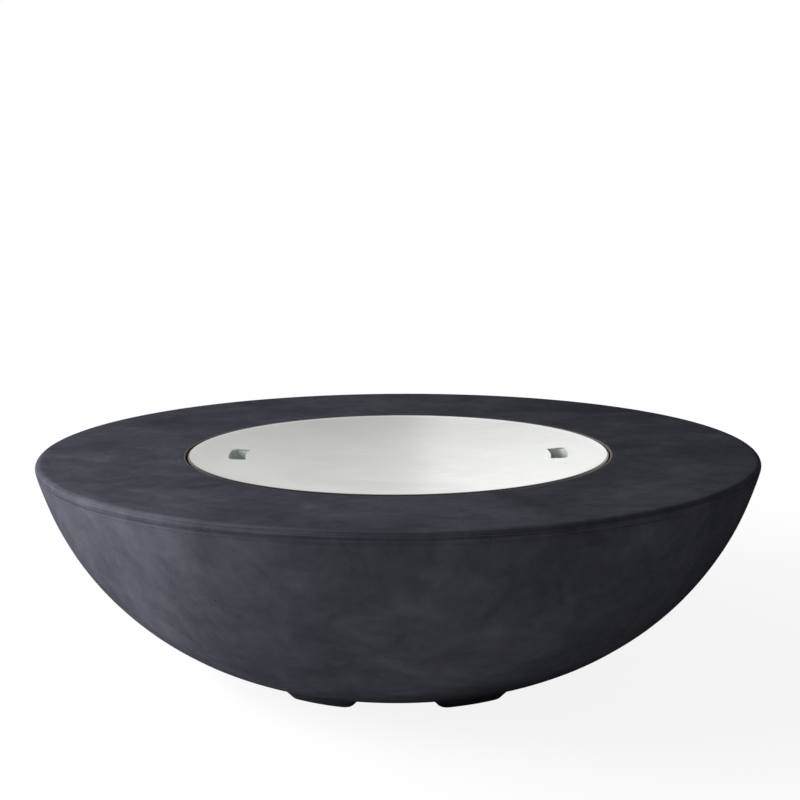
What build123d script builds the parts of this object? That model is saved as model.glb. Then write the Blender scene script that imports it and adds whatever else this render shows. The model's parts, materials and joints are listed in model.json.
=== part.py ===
from build123d import *

import math
import os
import random

# Gas fire pit: a wide concrete bowl on low cast feet, with a dished steel lid over a drop-in burner pan.
# Millimetres and degrees. The origin is on the floor under the bowl's centre, +Z is up, the front is -Y.

# Concrete bowl
bowl_diameter = 1220.0
rim_height = 373.0
rim_edge_radius = 9.0
side_arc_radius = 495.0
base_radius = 280.0
wall = 25.0
rim_slab = 42.0
base_slab = 30.0
base_hole_radius = 120.0
opening_edge_radius = 3.0
ledge_depth = 20.0
ledge_width = 24.0

# Cast feet
foot_count = 6
foot_height = 15.0
foot_outer_radius = 273.0
foot_depth = 60.0
foot_angle = 30.0
foot_gap_angle = 24.5
foot_draft = 45.0
foot_corner_radius = 12.0
foot_edge_radius = 2.0
foot_root = 6.0
front_angle = -91.2

# Lid and its finger cups
lid_radius = 357.5
lid_gap = 3.0
lid_sheet = 1.5
lid_dish = 14.4
lid_edge_drop = 2.4
lid_bend_radius = 5.0
slot_inner_radius = 260.5
slot_width = 28.5
slot_length = 89.0
slot_outer_corner = 9.0
slot_inner_corner = 3.0
cup_sheet = 1.2
cup_depth = 20.0
cup_flange = 7.0
cup_corner_radius = 4.0

# Burner pan
pan_sheet = 2.0
pan_depth = 85.0
pan_neck_gap = 6.0
pan_flange_gap = 1.5
pan_bend_radius = 6.0
pan_lip_radius = 6.0
drain_count = 8
drain_radius = 5.0
drain_inset = 24.0

# Ring burner
ring_tube = 19.0
spoke_tube = 16.0
tube_wall = 1.5
outer_ring_radius = 225.0
inner_ring_radius = 115.0
spoke_count = 4
spoke_start = 45.0
ring_lift = 46.0
joint_ball_radius = 12.0
joint_ball_wall = 2.0
port_radius = 1.5
outer_ports_between = 10
inner_ports_between = 5
hub_radius = 20.0
hub_cap = 13.0
nipple_radius = 10.5
nipple_wall = 2.5

# Gas fittings under the pan
gasket_thickness = 2.0
gasket_margin = 5.0
locknut_flats = 36.0
locknut_height = 9.0
mixer_radius = 15.5
mixer_length = 58.0
mixer_stand_off = 3.0
mixer_socket = 18.0
mixer_throat_radius = 7.0
air_hole_radius = 5.0
air_hole_count = 4
orifice_length = 8.0
orifice_jet_radius = 0.9
elbow_body_radius = 12.5
elbow_socket = 14.0
fitting_radius = 8.0
fitting_bore = 4.5
fitting_length = 22.0
hose_nut_flats = 24.0
hose_nut_length = 20.0
hose_nut_set_back = 9.0
hose_diameter = 15.0
hose_bore_radius = 4.5
hose_straight = 58.0
hose_run_in = 82.0
hose_sag = 55.5

# Pilot group
pilot_gap = 31.0
pilot_spacing = 24.0
bracket_width = 66.0
bracket_depth = 34.0
bracket_sheet = 2.0
bracket_screw_spacing = 48.0
bracket_screw_radius = 2.0
bracket_screw_head = 3.8
bracket_screw_length = 9.0
guard_sheet = 1.2
guard_height = 46.0
guard_bend = 5.0
insulator_radius = 3.6
insulator_collar = 5.6
insulator_height = 30.0
insulator_tail = 12.0
collar_height = 4.0
electrode_radius = 1.2
electrode_rise = 14.0
electrode_reach = 12.0
electrode_bend = 4.0
probe_radius = 2.6
probe_nose_radius = 2.0
probe_collar = 5.2
probe_height = 42.0
probe_tail = 10.0
lead_diameter = 3.0
lead_straight = 26.0
lead_sag = 55.0
probe_lead_offset = 10.0

# Controls at the rear
control_drop = 105.0
control_spread = 5.5
recess_depth = 8.0
inner_spot_depth = 2.0
inner_spot_radius = 25.0
knob_recess_radius = 31.0
button_recess_radius = 19.0
bezel_gap = 1.0
bezel_thickness = 2.5
bezel_edge_radius = 1.0
barrel_radius = 10.0
barrel_nut_flats = 27.0
barrel_nut_height = 5.0
barrel_proud = 1.5
valve_flange_radius = 20.0
valve_flange_thickness = 4.0
valve_width = 42.0
valve_depth = 46.0
valve_edge_radius = 3.0
valve_corner_radius = 6.0
port_depth = 24.0
inlet_engagement = 9.0
inlet_reach = 20.0
stem_radius = 4.0
stem_tail = 30.0
stem_flat = 1.2
shoulder_radius = 5.4
shoulder_height = 4.0
collar_radius = 6.5
collar_thickness = 4.0
collar_depth = 5.0
knob_travel = 4.0
knob_stand_off = 1.5
knob_radius = 22.0
knob_top_radius = 19.0
knob_height = 24.0
knob_socket = 15.0
knob_flute_count = 12
knob_flute_radius = 4.0
knob_flute_depth = 2.4
knob_edge_radius = 1.5
pointer_width = 3.0
pointer_height = 1.2
igniter_radius = 11.0
igniter_flange_radius = 16.0
igniter_flange_thickness = 4.0
igniter_flange_edge = 2.0
igniter_length = 52.0
igniter_nut_flats = 30.0
igniter_nut_height = 7.0
button_radius = 8.5
button_proud = 4.0
button_depth = 8.0
button_travel = 3.5
button_spring_stack = 2.5
button_edge_radius = 1.2
terminal_width = 5.0
terminal_thickness = 1.0
terminal_length = 8.0

# Lava rock bed: rings of rocks between the burner's tubes
rock_gap = 4.0
rock_sides = 7
rock_seed = 11
rock_pitch_share = 1.75
rock_height_share = (0.8, 1.0)
rock_corner_share = (0.82, 1.0)
rock_foot_share = (0.6, 0.75)
rock_crown_share = (0.45, 0.62)
rock_waist_share = 0.45
rock_turn_share = 0.25

# Clearances
thread_gap = 0.05
running_gap = 0.05
hole_gap = 0.4
weld_gap = 0.05

# Share of a cord's shorter run that its bend takes up
cord_bend_share = 0.45

# Derived sizes
rim_radius = bowl_diameter / 2
opening_radius = lid_radius + lid_gap
neck_radius = opening_radius - ledge_width
ledge_z = rim_height - ledge_depth
pan_top = ledge_z + pan_sheet
pan_floor = pan_top - pan_depth
pan_under = pan_floor - pan_sheet
pan_inner_radius = neck_radius - pan_neck_gap - pan_sheet
lid_edge_z = rim_height - lid_edge_drop
lid_sphere = (lid_radius**2 + lid_dish**2) / (2 * lid_dish)
lid_centre_z = lid_edge_z - lid_dish + lid_sphere
slot_mid_radius = slot_inner_radius + slot_width / 2
slot_half_angle = math.degrees(slot_length / 2 / slot_mid_radius)
hub_seat = pan_floor + gasket_thickness
pilot_radius = outer_ring_radius + pilot_gap
ring_z = pan_floor + ring_lift
mixer_top = pan_under - locknut_height - mixer_stand_off
mixer_bottom = mixer_top - mixer_length
nipple_bottom = mixer_top - mixer_socket
elbow_z = mixer_bottom - elbow_body_radius
rock_height = ring_lift - spoke_tube / 2 - rock_gap
bracket_top = pan_floor + bracket_sheet
control_height = rim_height - control_drop
mount_wall = wall - recess_depth - inner_spot_depth
barrel_top = bezel_thickness + barrel_nut_height + barrel_proud
knob_bottom = barrel_top + knob_travel + knob_stand_off
port_z = -mount_wall - valve_flange_thickness - port_depth
valve_back = -mount_wall - valve_flange_thickness - valve_depth
elbow_arm = elbow_body_radius + fitting_length
hose_low = elbow_z - hose_sag
lead_low = pan_under - lead_sag


def side_arc_centre():
    """Radius and height of the flank arc's centre: tangent to the rim's round, through the base's corner."""
    run = rim_radius - rim_edge_radius - base_radius
    rise = rim_height - rim_edge_radius - foot_height
    chord = math.hypot(run, rise)
    inner = side_arc_radius - rim_edge_radius
    along = (side_arc_radius**2 - inner**2 + chord**2) / (2 * chord)
    across = math.sqrt(side_arc_radius**2 - along**2)
    centre_r = base_radius + (along * run - across * rise) / chord
    centre_z = foot_height + (along * rise + across * run) / chord
    return centre_r, centre_z


flank_r, flank_z = side_arc_centre()


def flank_angle(radius, z):
    """Polar angle about the flank's centre at which an arc of this radius reaches a height."""
    return math.degrees(math.asin((z - flank_z) / radius))


def flank_point(radius, angle):
    """Section point on an arc about the flank's centre."""
    turn = math.radians(angle)
    return flank_r + radius * math.cos(turn), flank_z + radius * math.sin(turn)


def section_arc(centre, radius, start, end):
    """Arc in a section from one polar angle to another."""
    return CenterArc(centre, radius, start, end - start)


def turned(edges):
    """Solid of revolution about the bowl's axis from a closed chain of section edges."""
    return revolve(Plane.YZ * make_face(edges), Axis.Z)


def disc(radius, low, high, bore=0.0):
    """Upright cylinder between two heights, with an optional bore."""
    outline = Circle(radius)
    if bore > 0:
        outline -= Circle(bore)
    return extrude(Plane.XY.offset(low) * outline, amount=high - low)


def hexagon(flats, low, high, bore):
    """Hexagonal nut between two heights."""
    outline = RegularPolygon(flats / 2, 6, major_radius=False) - Circle(bore)
    return extrude(Plane.XY.offset(low) * outline, amount=high - low)


def sector(inner, outer, half_angle, inner_corner, outer_corner):
    """Ring sector centred on +X, with rounded corners."""
    turn = math.radians(half_angle)
    ends = [(math.cos(side * turn), math.sin(side * turn)) for side in (-1, 1)]
    low_in, high_in = [(inner * c, inner * s) for c, s in ends]
    low_out, high_out = [(outer * c, outer * s) for c, s in ends]
    edges = [
        section_arc((0, 0), outer, -half_angle, half_angle),
        Line(high_out, high_in),
        section_arc((0, 0), inner, half_angle, -half_angle),
        Line(low_in, low_out),
    ]
    face = make_face(edges)
    corners = face.vertices().sort_by_distance((0, 0, 0))
    face = fillet(corners[2:], outer_corner)
    corners = face.vertices().sort_by_distance((0, 0, 0))
    return fillet(corners[:2], inner_corner)


def control_plane(turn):
    """Plane on a control's recess floor at the rear, z outwards and x to the side, turned about the axis."""
    angle = flank_angle(side_arc_radius, control_height)
    reach, height = flank_point(side_arc_radius - recess_depth, angle)
    lean = math.radians(angle)
    outwards = Vector(0, math.cos(lean), math.sin(lean)).rotate(Axis.Z, turn)
    sideways = Vector(-1, 0, 0).rotate(Axis.Z, turn)
    return Plane(Vector(0, reach, height).rotate(Axis.Z, turn), x_dir=sideways, z_dir=outwards)


valve_plane = control_plane(-control_spread)
igniter_plane = control_plane(control_spread)


def bowl_section():
    """Closed section of the hollow bowl: flat rim, flank arc, base slab, cavity and lid ledge."""
    rim_edge = (rim_radius - rim_edge_radius, rim_height - rim_edge_radius)
    tangent = math.degrees(math.atan2(rim_edge[1] - flank_z, rim_edge[0] - flank_r))
    base_angle = flank_angle(side_arc_radius, foot_height)
    base_top = foot_height + base_slab
    slab_under = rim_height - rim_slab
    inner_radius = side_arc_radius - wall
    inner_low = flank_angle(inner_radius, base_top)
    inner_high = flank_angle(inner_radius, slab_under)
    arris = (opening_radius + opening_edge_radius, rim_height - opening_edge_radius)
    base_line = Polyline(
        flank_point(side_arc_radius, base_angle),
        (base_hole_radius, foot_height),
        (base_hole_radius, base_top),
        flank_point(inner_radius, inner_low),
    )
    ledge_line = Polyline(
        flank_point(inner_radius, inner_high),
        (neck_radius, slab_under),
        (neck_radius, ledge_z),
        (opening_radius, ledge_z),
        (opening_radius, arris[1]),
    )
    return [
        Line((arris[0], rim_height), (rim_edge[0], rim_height)),
        section_arc(rim_edge, rim_edge_radius, 90, tangent),
        section_arc((flank_r, flank_z), side_arc_radius, tangent, base_angle),
        *base_line.edges(),
        section_arc((flank_r, flank_z), inner_radius, inner_low, inner_high),
        *ledge_line.edges(),
        section_arc(arris, opening_edge_radius, 180, 90),
    ]


def foot(turn):
    """One cast foot: a ring sector that flares up into the base, with a rounded sole."""
    flare = foot_height * math.tan(math.radians(foot_draft))
    sole_half = foot_angle / 2 - math.degrees(flare / foot_outer_radius)
    sole = sector(
        foot_outer_radius - foot_depth, foot_outer_radius, sole_half, foot_corner_radius, foot_corner_radius
    )
    block = extrude(sole, amount=foot_height + foot_root, taper=-foot_draft)
    block = fillet(block.edges().group_by(Axis.Z)[0], foot_edge_radius)
    return Rot(0, 0, turn) * block


def control_cut(plane, recess_radius, hole_radius):
    """Cut for one control: round recess outside, flat spot inside, and the hole between them."""
    deep = 3 * wall
    recess = disc(recess_radius, 0, deep)
    hole = disc(hole_radius, -deep, deep)
    spot = disc(inner_spot_radius, -deep, -mount_wall)
    return plane.location * (recess + hole + spot)


def concrete_bowl():
    """The hollow concrete bowl with two control recesses, and feet that leave a wide gap at the rear."""
    bowl = turned(bowl_section())
    pitch = foot_angle + foot_gap_angle
    for number in range(foot_count):
        bowl += foot(front_angle + pitch * (number + 0.5 - foot_count / 2))
    bowl -= control_cut(valve_plane, knob_recess_radius, barrel_radius + hole_gap)
    bowl -= control_cut(igniter_plane, button_recess_radius, igniter_radius + hole_gap)
    return bowl


def lid_shell(thickness_out, thickness_in):
    """Dished lid section swept round the axis, between two depths below its upper face."""
    bend_r = lid_radius - lid_bend_radius
    bend_z = lid_centre_z - math.sqrt((lid_sphere + lid_bend_radius) ** 2 - bend_r**2)
    lean = math.degrees(math.atan2(bend_z - lid_centre_z, bend_r))
    outer = lid_sphere + thickness_out
    inner = lid_sphere + thickness_in
    bend_out = lid_bend_radius - thickness_out
    bend_in = lid_bend_radius - thickness_in
    skirt_out = bend_r + bend_out
    skirt_in = bend_r + bend_in
    return turned([
        section_arc((0, lid_centre_z), outer, -90, lean),
        section_arc((bend_r, bend_z), bend_out, lean + 180, 0),
        Line((skirt_out, bend_z), (skirt_out, pan_top)),
        Line((skirt_out, pan_top), (skirt_in, pan_top)),
        Line((skirt_in, pan_top), (skirt_in, bend_z)),
        section_arc((bend_r, bend_z), bend_in, 0, lean + 180),
        section_arc((0, lid_centre_z), inner, lean, -90),
        Line((0, lid_centre_z - inner), (0, lid_centre_z - outer)),
    ])


def slot_outline(margin):
    """Outline of a finger slot, widened all round by a margin."""
    mid = slot_mid_radius
    half = slot_half_angle + math.degrees(margin / mid)
    return sector(
        slot_inner_radius - margin,
        slot_inner_radius + slot_width + margin,
        half,
        slot_inner_corner + margin,
        slot_outer_corner + margin,
    )


def lid():
    """Dished lid with a turned-down skirt and a finger slot at each side."""
    shell = lid_shell(0, lid_sheet)
    for side in (0, 180):
        cutter = extrude(Plane.XY.offset(pan_top) * slot_outline(0), amount=rim_height - pan_top)
        shell -= Rot(0, 0, side) * cutter
    return shell


def finger_cup(side):
    """Pressed cup under one slot, with a flange that follows the lid's underside."""
    seat = lid_sphere + lid_sheet + weld_gap
    edge_z = lid_centre_z - math.sqrt(seat**2 - slot_mid_radius**2)
    bottom = edge_z - cup_depth
    tall = cup_depth + lid_dish
    flange = extrude(Plane.XY.offset(bottom) * slot_outline(cup_flange), amount=tall)
    flange &= Pos(0, 0, lid_centre_z) * (Sphere(seat + cup_sheet) - Sphere(seat))
    well = extrude(Plane.XY.offset(bottom) * slot_outline(cup_sheet), amount=tall)
    well -= Pos(0, 0, lid_centre_z) * Sphere(seat)
    well = fillet(well.edges().group_by(Axis.Z)[0], cup_corner_radius + cup_sheet)
    hollow = extrude(Plane.XY.offset(bottom + cup_sheet) * slot_outline(0), amount=tall)
    hollow = fillet(hollow.edges().group_by(Axis.Z)[0], cup_corner_radius)
    return Rot(0, 0, side) * ((flange + well) - hollow)


def burner_pan():
    """Drop-in pan: flange on the ledge, straight wall, flat floor with drain and fitting holes."""
    inner = pan_inner_radius
    outer = inner + pan_sheet
    bend = pan_bend_radius
    lip = pan_lip_radius
    flange_radius = opening_radius - pan_flange_gap
    hub_hole = nipple_radius + hole_gap
    low_bend = (inner - bend, pan_floor + bend)
    high_bend = (inner + lip, pan_top - lip)
    pan = turned([
        Line((hub_hole, pan_floor), (inner - bend, pan_floor)),
        section_arc(low_bend, bend, -90, 0),
        Line((inner, pan_floor + bend), (inner, pan_top - lip)),
        section_arc(high_bend, lip, 180, 90),
        Line((inner + lip, pan_top), (flange_radius, pan_top)),
        Line((flange_radius, pan_top), (flange_radius, ledge_z)),
        Line((flange_radius, ledge_z), (inner + lip, ledge_z)),
        section_arc(high_bend, lip - pan_sheet, 90, 180),
        Line((outer, pan_top - lip), (outer, pan_floor + bend)),
        section_arc(low_bend, bend + pan_sheet, 0, -90),
        Line((inner - bend, pan_under), (hub_hole, pan_under)),
        Line((hub_hole, pan_under), (hub_hole, pan_floor)),
    ])
    drain_circle = PolarLocations(inner - drain_inset, drain_count, start_angle=180 / drain_count)
    for place in drain_circle:
        pan -= place * disc(drain_radius, pan_under - pan_sheet, pan_floor + pan_sheet)
    for place, radius in pilot_holes():
        pan -= Pos(*place) * disc(radius, pan_under - pan_sheet, pan_floor + pan_sheet)
    return pan


def pilot_holes():
    """Places and radii of the holes through the pan's floor and the pilot bracket."""
    half_pair = pilot_spacing / 2
    half_screws = bracket_screw_spacing / 2
    return [
        ((-half_pair, pilot_radius, 0), insulator_radius + hole_gap),
        ((half_pair, pilot_radius, 0), probe_radius + hole_gap),
        ((-half_screws, pilot_radius, 0), bracket_screw_radius + thread_gap),
        ((half_screws, pilot_radius, 0), bracket_screw_radius + thread_gap),
    ]


def burner_body(tube, spoke, ball, hub, hub_low, hub_high, nipple):
    """Joined rings, spokes, joint balls, hub and nipple, for the burner's outside or for its bore."""
    cross = disc(hub, hub_low, hub_high) + disc(nipple, nipple_bottom, hub_high)
    for number in range(spoke_count):
        place = Pos(0, 0, ring_z) * Rot(0, 0, spoke_start + 360 * number / spoke_count)
        cross += place * extrude(Plane.YZ * Circle(spoke), outer_ring_radius)
        for radius in (inner_ring_radius, outer_ring_radius):
            cross += place * Pos(radius, 0, 0) * Sphere(ball)
    for radius in (inner_ring_radius, outer_ring_radius):
        ring_section = Plane.XZ * Pos(radius, 0) * Rot(0, 0, 180) * Circle(tube)
        cross += Pos(0, 0, ring_z) * revolve(ring_section, Axis.Z)
    return cross


def burner():
    """Hollow double-ring burner with drilled ports, spokes, hub and threaded nipple."""
    hub_top = ring_z + hub_cap
    outside = burner_body(
        ring_tube / 2, spoke_tube / 2, joint_ball_radius, hub_radius, hub_seat, hub_top, nipple_radius
    )
    inside = burner_body(
        ring_tube / 2 - tube_wall,
        spoke_tube / 2 - tube_wall,
        joint_ball_radius - joint_ball_wall,
        hub_radius - nipple_wall,
        hub_seat + nipple_wall,
        hub_top - nipple_wall,
        nipple_radius - nipple_wall,
    )
    body = outside - inside
    drill = disc(port_radius, ring_z, ring_z + ring_tube)
    rings = ((outer_ring_radius, outer_ports_between), (inner_ring_radius, inner_ports_between))
    for radius, between in rings:
        count = spoke_count * between
        port_circle = PolarLocations(radius, count, start_angle=spoke_start + 180 / count)
        body -= [place * drill for place in port_circle]
    return body


def hub_gasket():
    """Flat seal between the burner's hub and the pan's floor."""
    return disc(hub_radius + gasket_margin, pan_floor, hub_seat, nipple_radius + thread_gap)


def hub_locknut():
    """Nut that draws the burner's nipple down on the pan."""
    return hexagon(locknut_flats, pan_under - locknut_height, pan_under, nipple_radius + thread_gap)


def air_mixer():
    """Mixer tube under the nipple, with air holes around its throat."""
    body = disc(mixer_radius, mixer_bottom, mixer_top)
    body -= disc(nipple_radius + thread_gap, nipple_bottom, mixer_top)
    body -= disc(mixer_throat_radius, mixer_bottom, mixer_top)
    body -= disc(fitting_radius + thread_gap, mixer_bottom, mixer_bottom + elbow_socket)
    air_z = nipple_bottom - 2 * air_hole_radius
    hole = extrude(Plane.YZ * Circle(air_hole_radius), 2 * mixer_radius)
    for number in range(air_hole_count):
        body -= Pos(0, 0, air_z) * Rot(0, 0, spoke_start + 360 * number / air_hole_count) * hole
    return body


def gas_orifice():
    """Brass jet that sits on the elbow inside the mixer's throat."""
    low = mixer_bottom + elbow_socket
    return disc(mixer_throat_radius - thread_gap, low, low + orifice_length, orifice_jet_radius)


def elbow(first_arm, second_arm):
    """Bored right-angle fitting with one arm along +Z and one along +X from its centre."""
    body = Sphere(elbow_body_radius)
    body += disc(fitting_radius, 0, first_arm)
    body += extrude(Plane.YZ * Circle(fitting_radius), second_arm)
    body -= disc(fitting_bore, -fitting_bore, first_arm)
    body -= extrude(Plane.YZ * Circle(fitting_bore), second_arm)
    return body


def gas_elbow():
    """Elbow under the mixer, with its free arm towards the rear."""
    return Pos(0, 0, elbow_z) * Rot(0, 0, 90) * elbow(elbow_body_radius + elbow_socket, elbow_arm)


hose_start = valve_plane.from_local_coords((0, -valve_width / 2 - fitting_length, port_z))
hose_out = valve_plane.from_local_coords((0, -valve_width / 2 - fitting_length - hose_straight, port_z))
hose_route = [
    tuple(hose_start),
    tuple(hose_out),
    (46, 402, hose_low + 16),
    (32, 292, hose_low),
    (12, 204, hose_low + 16),
    (0, elbow_arm + hose_run_in, elbow_z),
    (0, elbow_arm, elbow_z),
]
ignition_lead_route = [
    tuple(igniter_plane.from_local_coords((0, 0, -igniter_length - terminal_length))),
    tuple(igniter_plane.from_local_coords((0, 0, -igniter_length - terminal_length - lead_straight))),
    (-46, 442, lead_low + 69),
    (-38, 396, lead_low + 33),
    (-26, 342, lead_low + 9),
    (-16, 296, lead_low),
    (-pilot_spacing / 2, pilot_radius, lead_low + 1),
    (-pilot_spacing / 2, pilot_radius, pan_under - insulator_tail),
]
probe_lead_route = [
    tuple(valve_plane.from_local_coords((0, probe_lead_offset, valve_back))),
    tuple(valve_plane.from_local_coords((0, probe_lead_offset, valve_back - lead_straight))),
    (46, 434, lead_low + 67),
    (38, 388, lead_low + 31),
    (26, 338, lead_low + 7),
    (16, 296, lead_low - 2),
    (pilot_spacing / 2, pilot_radius, lead_low - 1),
    (pilot_spacing / 2, pilot_radius, pan_under - probe_tail),
]


def cord_radii(route):
    """Bend radius at each inner point, as large as the two runs beside it allow."""
    radii = []
    for before, corner, after in zip(route, route[1:], route[2:]):
        arriving = Vector(corner) - Vector(before)
        leaving = Vector(after) - Vector(corner)
        half_turn = math.radians(arriving.get_angle(leaving)) / 2
        radii.append(cord_bend_share * min(arriving.length, leaving.length) / math.tan(half_turn))
    return radii


def cord(route, diameter, bore=0.0):
    """Round cord or hose along straight runs and tangent arcs."""
    path = FilletPolyline(*route, radius=cord_radii(route))
    outline = Circle(diameter / 2)
    if bore > 0:
        outline -= Circle(bore)
    return sweep(Plane(path @ 0, z_dir=path % 0) * outline, path=path)


def hose_nuts():
    """Swivel nuts on the hose's two ends."""
    nut = hexagon(hose_nut_flats, 0, hose_nut_length, fitting_radius + thread_gap)
    burner_end = Plane((0, elbow_arm - hose_nut_set_back, elbow_z), z_dir=(0, 1, 0))
    valve_end = Plane(
        valve_plane.from_local_coords((0, -valve_width / 2 - fitting_length + hose_nut_set_back, port_z)),
        z_dir=-valve_plane.y_dir,
    )
    return [burner_end.location * nut, valve_end.location * nut]


def pilot_bracket():
    """Plate on the pan's floor that carries the electrode and the thermocouple."""
    plate = RectangleRounded(bracket_width, bracket_depth, bracket_sheet)
    plate = Pos(0, pilot_radius, pan_floor) * extrude(plate, amount=bracket_sheet)
    for place, radius in pilot_holes():
        plate -= Pos(*place) * disc(radius, pan_floor - bracket_sheet, bracket_top + bracket_sheet)
    return plate


def pilot_guard():
    """Bent guard that keeps the rocks off the pilot group: two sides and a back."""
    half = bracket_width / 2 - bracket_sheet
    near = pilot_radius - bracket_depth / 2
    far = pilot_radius + bracket_depth / 2
    inner_half = half - guard_sheet
    inner_far = far - guard_sheet
    outside = FilletPolyline((-half, near), (-half, far), (half, far), (half, near), radius=guard_bend)
    inside = FilletPolyline(
        (-inner_half, near),
        (-inner_half, inner_far),
        (inner_half, inner_far),
        (inner_half, near),
        radius=guard_bend - guard_sheet,
    )
    ends = [Line((side * half, near), (side * inner_half, near)) for side in (-1, 1)]
    strip = make_face([*outside.edges(), *inside.edges(), *ends])
    return extrude(Plane.XY.offset(bracket_top) * strip, amount=guard_height)


def pilot_screws():
    """Two screws through the bracket and the pan's floor."""
    head = disc(bracket_screw_head, bracket_top, bracket_top + bracket_screw_radius)
    screw = head + disc(bracket_screw_radius, bracket_top - bracket_screw_length, bracket_top)
    half = bracket_screw_spacing / 2
    return [Pos(side * half, pilot_radius, 0) * screw for side in (-1, 1)]


def electrode_insulator():
    """Ceramic sleeve through the pan's floor, with a collar that sits on the bracket."""
    sleeve = disc(insulator_radius, pan_under - insulator_tail, bracket_top + insulator_height)
    sleeve += disc(insulator_collar, bracket_top, bracket_top + collar_height)
    sleeve -= disc(electrode_radius + thread_gap, bracket_top, bracket_top + insulator_height)
    return Pos(-pilot_spacing / 2, pilot_radius, 0) * sleeve


def spark_electrode():
    """Rod from the ceramic sleeve that bends over towards the outer ring."""
    top = bracket_top + insulator_height + electrode_rise
    start = (-pilot_spacing / 2, pilot_radius, bracket_top)
    corner = (-pilot_spacing / 2, pilot_radius, top)
    tip = (-pilot_spacing / 2, pilot_radius - electrode_reach, top)
    path = FilletPolyline(start, corner, tip, radius=electrode_bend)
    return sweep(Plane(start, z_dir=(0, 0, 1)) * Circle(electrode_radius), path=path)


def thermocouple():
    """Round-nosed probe beside the flame, with a collar that sits on the bracket."""
    probe = disc(probe_radius, pan_under - probe_tail, bracket_top + probe_height)
    probe = fillet(probe.edges().group_by(Axis.Z)[-1], probe_nose_radius)
    probe += disc(probe_collar, bracket_top, bracket_top + collar_height)
    return Pos(pilot_spacing / 2, pilot_radius, 0) * probe


def knob_bezel():
    """Round trim plate on the knob's recess floor."""
    plate = disc(knob_recess_radius - bezel_gap, 0, bezel_thickness, barrel_radius + hole_gap)
    edge = plate.edges().group_by(Axis.Z)[-1].sort_by(SortBy.RADIUS)[-1]
    return valve_plane.location * fillet(edge, bezel_edge_radius)


def barrel_nut():
    """Nut outside that clamps the valve's barrel to the wall."""
    top = bezel_thickness + barrel_nut_height
    return valve_plane.location * hexagon(barrel_nut_flats, bezel_thickness, top, barrel_radius + thread_gap)


def valve_body():
    """Safety gas valve: barrel through the wall, flange inside, block with outlet below and inlet beside."""
    flange_back = -mount_wall - valve_flange_thickness
    block = extrude(Plane.XY.offset(flange_back) * Rectangle(valve_width, valve_width), amount=-valve_depth)
    block = fillet(block.edges().filter_by(Axis.Z), valve_corner_radius)
    block = fillet(block.edges().group_by(Axis.Z)[0], valve_edge_radius)
    body = block + disc(valve_flange_radius, flange_back, -mount_wall)
    body += disc(barrel_radius, flange_back, barrel_top)
    outlet = Pos(0, 0, port_z) * extrude(Plane.XZ * Circle(fitting_radius), valve_width / 2 + fitting_length)
    body += outlet
    body -= Pos(0, 0, port_z) * extrude(Plane.XZ * Circle(fitting_bore), valve_width / 2 + fitting_length)
    inlet = extrude(Plane.YZ * Circle(fitting_radius + thread_gap), amount=-valve_width)
    body -= Pos(-valve_width / 2 + inlet_engagement, 0, port_z) * inlet
    collar_room = collar_depth + collar_thickness + shoulder_height + knob_travel + knob_stand_off
    body -= disc(collar_radius, -collar_room, barrel_top)
    body -= disc(stem_radius + running_gap, -stem_tail - knob_travel - knob_stand_off, barrel_top)
    return valve_plane.location * body


def inlet_fitting():
    """Flare elbow in the valve's side, turned down towards the base opening for the supply."""
    place = Pos(-valve_width / 2 - inlet_reach, 0, port_z) * Rot(90, 0, 0)
    return valve_plane.location * place * elbow(elbow_arm, inlet_reach + inlet_engagement)


def stem_collar():
    """Sliding collar that guides the stem in the barrel."""
    low = -collar_depth - collar_thickness
    collar = disc(collar_radius - running_gap, low, -collar_depth, stem_radius + running_gap)
    return valve_plane.location * collar


def stem_section(radius):
    """Round section with one flat, as on the stem's top and in the knob's socket."""
    flat_at = radius - stem_flat
    return Circle(radius) - Pos(0, flat_at + radius) * Rectangle(4 * radius, 2 * radius)


def valve_stem():
    """Stem with a shoulder under the collar and a flat for the knob."""
    seat = -collar_depth - collar_thickness
    stem = disc(stem_radius, -stem_tail, knob_bottom)
    stem += disc(shoulder_radius, seat - shoulder_height, seat)
    stem += extrude(Plane.XY.offset(knob_bottom) * stem_section(stem_radius), amount=knob_socket - thread_gap)
    return valve_plane.location * stem


def control_knob():
    """Fluted, tapering knob with a pointer rib on its face."""
    top = knob_bottom + knob_height
    taper = math.degrees(math.atan2(knob_radius - knob_top_radius, knob_height))
    knob = extrude(Plane.XY.offset(knob_bottom) * Circle(knob_radius), amount=knob_height, taper=taper)
    knob = fillet(knob.edges().group_by(Axis.Z)[-1], knob_edge_radius)
    flute = disc(knob_flute_radius, knob_bottom, top)
    flute_circle = PolarLocations(knob_radius + knob_flute_radius - knob_flute_depth, knob_flute_count)
    knob -= [place * flute for place in flute_circle]
    rib = Pos(0, knob_top_radius / 2 - knob_edge_radius) * Rectangle(pointer_width, knob_top_radius)
    rib &= Circle(knob_top_radius - 2 * knob_edge_radius)
    knob += extrude(Plane.XY.offset(top) * rib, amount=pointer_height)
    socket = stem_section(stem_radius + thread_gap)
    knob -= extrude(Plane.XY.offset(knob_bottom) * socket, amount=knob_socket)
    return valve_plane.location * knob


def igniter_body():
    """Spark igniter: flanged barrel through the wall with the button's bore and two rear terminals."""
    body = disc(igniter_radius, -igniter_length, igniter_flange_thickness)
    flange = disc(igniter_flange_radius, 0, igniter_flange_thickness)
    flange = fillet(flange.edges().group_by(Axis.Z)[-1], igniter_flange_edge)
    body += flange
    bore_end = -button_depth - button_travel - button_spring_stack
    body -= disc(button_radius + running_gap, bore_end, igniter_flange_thickness)
    tab = Plane.XY.offset(-igniter_length) * Rectangle(terminal_width, terminal_thickness)
    body += extrude(tab, -terminal_length)
    return igniter_plane.location * body


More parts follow.
